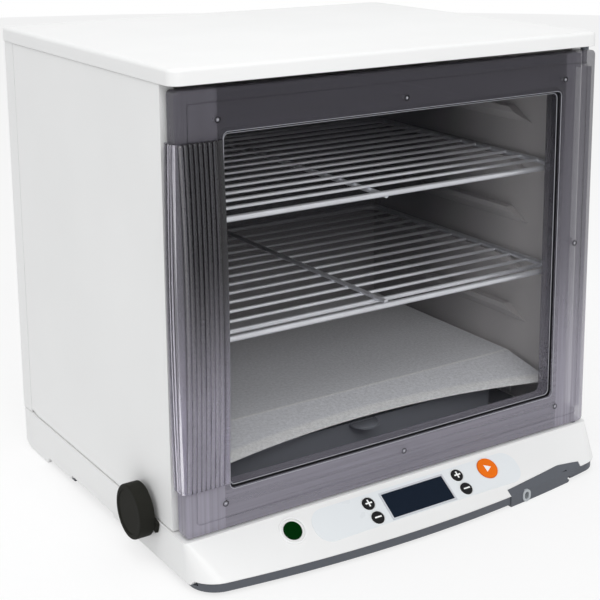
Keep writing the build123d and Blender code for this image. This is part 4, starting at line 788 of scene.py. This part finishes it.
class PROOFER_OT_handle(bpy.types.Operator):
    """Ribbed, bowed grip wrapped round the free edge of the door"""

    bl_idname = "proofer.handle"
    bl_label = "Handle"

    def station(self, sizes, box, z):
        """Closed outline of the grip at one height: front with ribs, round corner, side with finer ribs."""
        low, high = box
        mid, half = (low.z + high.z) / 2, (high.z - low.z) / 2
        lift = 1.0 - ((z - mid) / half) ** 2
        front = low.y + sizes.rib + sizes.bow * (1.0 - lift)
        side = low.x + sizes.side_rib + sizes.side_bow * (1.0 - lift)
        face = low.y + sizes.rib + sizes.bow + HANDLE_FACE_BACK
        inner_x, inner_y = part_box("door_frame")[0].x - HANDLE_ROOM, face - HANDLE_ROOM
        straight = high.x - side - HANDLE_CORNER
        bend = HANDLE_CORNER * math.pi / 2

        def point(run, out, line=0.5):
            """Point at a run along the outline, this far out of it."""
            if run < straight:
                return high.x - run, front - out, line
            if run < straight + bend:
                turn = (run - straight) / HANDLE_CORNER
                reach = HANDLE_CORNER + out
                return (side + HANDLE_CORNER - reach * math.sin(turn),
                        front + HANDLE_CORNER - reach * math.cos(turn), line)
            return side - out, front + HANDLE_CORNER + run - straight - bend, line

        def rib(at, radius):
            end = min(z - low.z, high.z - z)
            size = radius * math.sqrt(max(0.0, 1.0 - max(0.0, 1.0 - end / radius) ** 2))
            turns = [math.pi * i / RIB_STEPS for i in range(RIB_STEPS + 1)]
            return [point(at - size * math.cos(t), size * math.sin(t), self.line(t)) for t in turns]

        edge, third = HANDLE_EDGE, HANDLE_EDGE / 3
        loop = [(high.x, inner_y, 0.5), (high.x, front + edge, 0.5), (high.x - third, front + third, 0.5),
                (high.x - edge, front, 0.5), (high.x - 5 * edge, front, 0.5)]
        for number in range(sizes.ribs):
            loop += rib(sizes.rib_first + number * sizes.rib_pitch, sizes.rib)
        last = sizes.rib_first + (sizes.ribs - 1) * sizes.rib_pitch + sizes.rib
        first_side = straight + bend + (face + SIDE_RIB_FIRST - front - HANDLE_CORNER)
        gap = first_side - sizes.side_rib - last
        loop += [point(last + gap * i / CORNER_STEPS, 0.0) for i in range(1, CORNER_STEPS)]
        for number in range(SIDE_RIBS):
            loop += rib(first_side + number * SIDE_RIB_PITCH, sizes.side_rib)
        return loop + [(side, high.y, 0.5), (inner_x, high.y, 0.5), (inner_x, inner_y, 0.5)]

    def line(self, turn):
        """Value of the painted rib mark at a turn round the rib: 0 for the painted shade in the gap, 1 for
        the painted highlight.
        """
        crest_highlight = 1.0 - abs(turn - HIGHLIGHT_AT) / HIGHLIGHT_REACH
        edge = min(turn, math.pi - turn) / GAP_SHADE_REACH
        return max(0.5 + 0.5 * crest_highlight if crest_highlight > 0 else 0.0, min(0.5, 0.5 * edge))

    def execute(self, context):
        # one closed skin, since the clear plastic is seen through its whole thickness
        _, sizes, _ = settings()
        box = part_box("door_handle")
        low, high = box
        # close steps where the ribs run out, wide ones between
        ends = [sizes.rib * (1 - math.cos(math.pi * i / 12)) for i in range(7)] + [4 * MM, 8 * MM]
        even_from, even = low.z + 12 * MM, high.z - low.z - 24 * MM
        middle = [even_from + even * i / BOW_STEPS for i in range(BOW_STEPS + 1)]
        heights = [low.z + e for e in ends] + middle + [high.z - e for e in reversed(ends)]

        def build(work):
            layer = work.verts.layers.float.new("rib_painted_light")
            rings = []
            for z in heights:
                ring = []
                for x, y, line in self.station(sizes, box, z):
                    vertex = work.verts.new((x, y, z))
                    vertex[layer] = line
                    ring.append(vertex)
                rings.append(ring)
            for a, b in zip(rings, rings[1:]):
                for i in range(len(a)):
                    j = (i + 1) % len(a)
                    work.faces.new((a[i], a[j], b[j], b[i]))
            work.faces.new(rings[-1])
            work.faces.new(list(reversed(rings[0])))

        mesh = soften(mesh_from(build, "door_handle_ribbed"), 50.0)
        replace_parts(as_piece("door_handle_ribbed", mesh, "clear_grip", "door"), "door_handle")
        return {"FINISHED"}


class PROOFER_OT_racks(bpy.types.Operator):
    """Wire racks: filleted rail, cross wires and one bar from front to back"""

    bl_idname = "proofer.racks"
    bl_label = "Racks"

    def execute(self, context):
        _, sizes, _ = settings()
        tree = Tree("wire_rack", {"Width": 0.36, "Depth": 0.27, "Centre Y": 0.0, "Height": 0.2, "Up": 1.0,
                                  "Rail": sizes.rail, "Wire": sizes.wire, "Bar": sizes.bar,
                                  "Pitch": sizes.pitch, "End gap": sizes.end_gap, "Count": sizes.wires})
        get = tree.entry.outputs
        half_w = tree.math("MULTIPLY", get["Width"], 0.5)
        half_d = tree.math("MULTIPLY", get["Depth"], 0.5)
        minus_w = tree.math("MULTIPLY", half_w, -1.0)
        rail = tree.tube(tree.rounded(get["Width"], get["Depth"], RACK_CORNER), get["Rail"], 18)
        # stout wire next to one end, then the cross wires on the same side of the middle plane
        wire_z = tree.math("MULTIPLY", get["Up"], -WIRE_BELOW)
        end_y = tree.math("MULTIPLY", get["Up"], tree.math("SUBTRACT", get["End gap"], half_d))
        step = tree.math("MULTIPLY", get["Up"], get["Pitch"])
        cross = tree.add("GeometryNodeCurvePrimitiveLine", Start=tree.vector(x=minus_w),
                         End=tree.vector(x=half_w))
        stout = tree.add("GeometryNodeTransform", Geometry=tree.tube(cross.outputs[0], get["Bar"], 14),
                         Translation=tree.vector(y=end_y, z=wire_z))
        row = tree.add("GeometryNodeMeshLine", Count=tree.math("SUBTRACT", get["Count"], 1.0),
                       Start_Location=tree.vector(y=tree.math("ADD", end_y, step), z=wire_z),
                       Offset=tree.vector(y=step))
        rows = tree.add("GeometryNodeInstanceOnPoints", Points=row.outputs[0],
                        Instance=tree.tube(cross.outputs[0], get["Wire"], 12))
        bar_end = tree.math("SUBTRACT", half_d, BAR_SHORT)
        bar_z = tree.math("MULTIPLY", get["Up"], BAR_ABOVE)
        bar_line = tree.add("GeometryNodeCurvePrimitiveLine",
                            Start=tree.vector(y=tree.math("MULTIPLY", bar_end, -1.0), z=bar_z),
                            End=tree.vector(y=bar_end, z=bar_z))
        bar = tree.tube(bar_line.outputs[0], get["Bar"], 14)
        join = tree.tree.nodes.new("GeometryNodeJoinGeometry")
        for part in (rail, stout.outputs[0], rows.outputs[0], bar):
            tree.tree.links.new(part, join.inputs[0])
        placed = tree.add("GeometryNodeTransform", Geometry=join.outputs[0],
                          Translation=tree.vector(y=get["Centre Y"], z=get["Height"]))
        tree.close([placed.outputs[0]], look("wire_coat"))
        bar_top = BAR_ABOVE + sizes.bar
        for node, up in (("lower_rack", 1.0), ("upper_rack", -1.0)):
            low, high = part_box(node)
            mesh = grown(node + "_wires", tree, {
                "Width": high.x - low.x - 2 * sizes.rail, "Depth": high.y - low.y - 2 * sizes.rail,
                "Centre Y": (low.y + high.y) / 2, "Up": up,
                "Height": high.z - bar_top if up > 0 else low.z + bar_top})
            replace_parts(as_piece(node + "_wires", mesh, "wire_coat", node), node)
        return {"FINISHED"}


class PROOFER_OT_inside(bpy.types.Operator):
    """Cover plate, water tray, heating tub and what lies in it"""

    bl_idname = "proofer.inside"
    bl_label = "Inside"

    def execute(self, context):
        finish_node("cover_plate", "cover_sheet")
        smooth_copy("water_tray", "tub_grey", 40.0)
        finish_node("heating_tub", "tub_grey")
        finish_node("heater_plate", "tray_metal")
        finish_node("heater_element", "element_steel")
        for node in ("element_clips", "temperature_probe", "left_fold_pins", "right_fold_pins",
                     "back_fold_pins", "left_lock_keeper", "right_lock_keeper"):
            finish_node(node, "steel")
        for node in ("control_board", "power_board"):
            finish_node(node, "board")
        finish_node("power_switch", "button_black")
        finish_node("lcd_module", "bezel_light")
        return {"FINISHED"}


class PROOFER_OT_knobs(bpy.types.Operator):
    """Black quarter-turn lock knobs"""

    bl_idname = "proofer.knobs"
    bl_label = "Knobs"

    def execute(self, context):
        for node in ("left_knob", "right_knob"):
            smooth_copy(node, "black_knob")
        return {"FINISHED"}


class PROOFER_OT_controls(bpy.types.Operator):
    """Control film, display and push buttons with their generic signs"""

    bl_idname = "proofer.controls"
    bl_label = "Controls"

    def sign(self, node, bars):
        """Flat plates on the face of a button, given as corner lists in its plane."""
        place = panel_place(node)

        def build(work):
            for corners in bars:
                low = [work.verts.new(place @ Vector((x, y, 0.0))) for x, y in corners]
                high = [work.verts.new(place @ Vector((x, y, SIGN_THICK))) for x, y in corners]
                work.faces.new(high)
                work.faces.new(list(reversed(low)))
                for i in range(len(corners)):
                    j = (i + 1) % len(corners)
                    work.faces.new((low[i], low[j], high[j], high[i]))

        as_piece(node + "_sign", mesh_from(build, node + "_sign"), "sign_pale", node)

    def power_ring(self):
        """White ring on the slope round the power button."""
        tree = Tree("power_ring", {"Radius": 8.0 * MM, "Stroke": RING_STROKE})
        get = tree.entry.outputs
        ring = tree.add("GeometryNodeCurvePrimitiveCircle", Resolution=48, Radius=get["Radius"])
        tree.close([tree.tube(ring.outputs["Curve"], get["Stroke"], 8)], look("ring_white"))
        place = panel_place("power_button")
        low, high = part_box("power_button")
        mesh = grown("power_ring", tree, {"Radius": (high.x - low.x) / 2 + RING_GAP, "Stroke": RING_STROKE})
        mesh.transform(place @ Matrix.Translation((0.0, 0.0, -RING_SUNK)))
        as_piece("power_ring", mesh, "ring_white", "cabinet")

    def execute(self, context):
        _, sizes, _ = settings()
        finish_node("control_label", "panel_film")
        finish_node("display_bezel", "bezel_light")
        finish_node("display_window", "display_dark")
        smooth_copy("power_button", "button_green")
        smooth_copy("start_button", "button_orange")
        s = sizes.sign / 2
        r = SIGN_REACH
        minus = [(-r, -s), (r, -s), (r, s), (-r, s)]
        plus = [(-r, -s), (-s, -s), (-s, -r), (s, -r), (s, -s), (r, -s), (r, s), (s, s), (s, r), (-s, r),
                (-s, s), (-r, s)]
        for node, shape in (("temp_up_button", plus), ("time_up_button", plus), ("temp_down_button", minus),
                            ("time_down_button", minus)):
            smooth_copy(node, "button_black")
            self.sign(node, [shape])
        back, tip = -0.72 * PLAY_REACH, 1.05 * PLAY_REACH
        self.sign("start_button", [[(back, -PLAY_REACH), (tip, 0), (back, PLAY_REACH)]])
        self.power_ring()
        return {"FINISHED"}


class PROOFER_OT_stage(bpy.types.Operator):
    """Pale floor, studio light and the camera"""

    bl_idname = "proofer.stage"
    bl_label = "Stage"

    def light(self, name, spot, size, power):
        """Soft rectangular lamp aimed at the object."""
        lamp = bpy.data.lights.new(name, "AREA")
        lamp.shape = "RECTANGLE"
        lamp.size, lamp.size_y = size
        lamp.energy = power
        made = bpy.data.objects.new(name, lamp)
        made.location = spot
        made.rotation_euler = (Vector(LOOK_AT) - Vector(spot)).to_track_quat("-Z", "Y").to_euler()
        bpy.context.scene.collection.objects.link(made)

    def seen(self, tree):
        """1 where a camera, mirror or clear-plastic ray looks at the background."""
        path = tree.nodes.new("ShaderNodeLightPath")
        total = path.outputs["Is Camera Ray"]
        for name in ("Is Glossy Ray", "Is Transmission Ray"):
            total = math_node(tree, "MAXIMUM", total, path.outputs[name])
        return total

    def mixed(self, tree, fac, first, second, target):
        """Mix of two shaders, linked to the surface of the target node."""
        mix = tree.nodes.new("ShaderNodeMixShader")
        for socket, source in zip(mix.inputs, (fac, first.outputs[0], second.outputs[0])):
            tree.links.new(source, socket)
        tree.links.new(mix.outputs[0], tree.nodes[target].inputs["Surface"])

    def floor_finish(self, glow):
        """Pale floor: mostly plain white to the eye, with the shadow of the object left in it."""
        mat = bpy.data.materials.new("floor_pale")
        mat.use_nodes = True
        tree = mat.node_tree
        matt = tree.nodes["Principled BSDF"]
        matt.inputs["Base Color"].default_value = (FLOOR_GREY, FLOOR_GREY, FLOOR_GREY, 1.0)
        matt.inputs["Roughness"].default_value = 0.8
        matt.inputs["Specular IOR Level"].default_value = 0.0
        plain = tree.nodes.new("ShaderNodeEmission")
        share = math_node(tree, "MULTIPLY", self.seen(tree), glow)
        self.mixed(tree, share, matt, plain, "Material Output")
        return mat

    def surround(self, strength):
        """Soft light from all sides in front of a plain white background."""
        world = bpy.data.worlds.new("studio")
        world.use_nodes = True
        tree = world.node_tree
        light = tree.nodes["Background"]
        light.inputs["Color"].default_value = (*SKY_TINT, 1.0)
        light.inputs["Strength"].default_value = strength
        plain = tree.nodes.new("ShaderNodeBackground")
        plain.inputs["Color"].default_value = (*WHITE, 1.0)
        plain.inputs["Strength"].default_value = 1.0
        self.mixed(tree, self.seen(tree), light, plain, "World Output")
        return world

    def execute(self, context):
        _, _, studio = settings()
        scene = bpy.context.scene
        scene.view_settings.view_transform = "Standard"

        def build(work):
            bmesh.ops.create_circle(work, cap_ends=True, segments=64, radius=FLOOR_RADIUS)

        floor = bpy.data.objects.new("floor", mesh_from(build, "floor"))
        scene.collection.objects.link(floor)
        floor.data.materials.append(self.floor_finish(studio.floor_glow))
        scene.world = self.surround(studio.sky)

        self.light("key", KEY_AT, KEY_SIZE, studio.key)
        self.light("fill", FILL_AT, FILL_SIZE, studio.fill)

        lens = bpy.data.cameras.new("photo_camera")
        lens.sensor_width = 36.0
        lens.lens = studio.lens
        lens.shift_x = (PHOTO_SIZE / 2 - PHOTO_CENTRE[0]) / PHOTO_SIZE
        lens.shift_y = (PHOTO_CENTRE[1] - PHOTO_SIZE / 2) / PHOTO_SIZE
        made = bpy.data.objects.new("photo_camera", lens)
        made.location = CAMERA_AT
        made.rotation_euler = (math.radians(90 - CAMERA_DOWN), 0, math.radians(CAMERA_TURN))
        scene.collection.objects.link(made)
        scene.camera = made
        return {"FINISHED"}


STEPS = (
    PROOFER_OT_housing,
    PROOFER_OT_underside,
    PROOFER_OT_inside,
    PROOFER_OT_racks,
    PROOFER_OT_door,
    PROOFER_OT_handle,
    PROOFER_OT_knobs,
    PROOFER_OT_controls,
    PROOFER_OT_stage,
)


class PROOFER_PT_sidebar(bpy.types.Panel):
    """Sizes, colours and the steps that dress the proofer"""

    bl_idname = "PROOFER_PT_sidebar"
    bl_label = "Dough proofer"
    bl_space_type = "VIEW_3D"
    bl_region_type = "UI"
    bl_category = "Proofer"

    def draw(self, context):
        for group in settings():
            box = self.layout.box()
            for key in group.bl_rna.properties.keys():
                if key not in ("rna_type", "name"):
                    box.prop(group, key)
        for step in STEPS:
            self.layout.operator(step.bl_idname)


CLASSES = (ProoferColours, ProoferSizes, ProoferStudio, *STEPS, PROOFER_PT_sidebar)


def register():
    for cls in CLASSES:
        bpy.utils.register_class(cls)
    bpy.types.Scene.proofer_colours = PointerProperty(type=ProoferColours)
    bpy.types.Scene.proofer_sizes = PointerProperty(type=ProoferSizes)
    bpy.types.Scene.proofer_studio = PointerProperty(type=ProoferStudio)


def unregister():
    for name in ("proofer_colours", "proofer_sizes", "proofer_studio"):
        delattr(bpy.types.Scene, name)
    for cls in reversed(CLASSES):
        bpy.utils.unregister_class(cls)


def main():
    register()
    for step in STEPS:
        group, name = step.bl_idname.split(".")
        getattr(getattr(bpy.ops, group), name)()


if __name__ == "__main__":
    main()
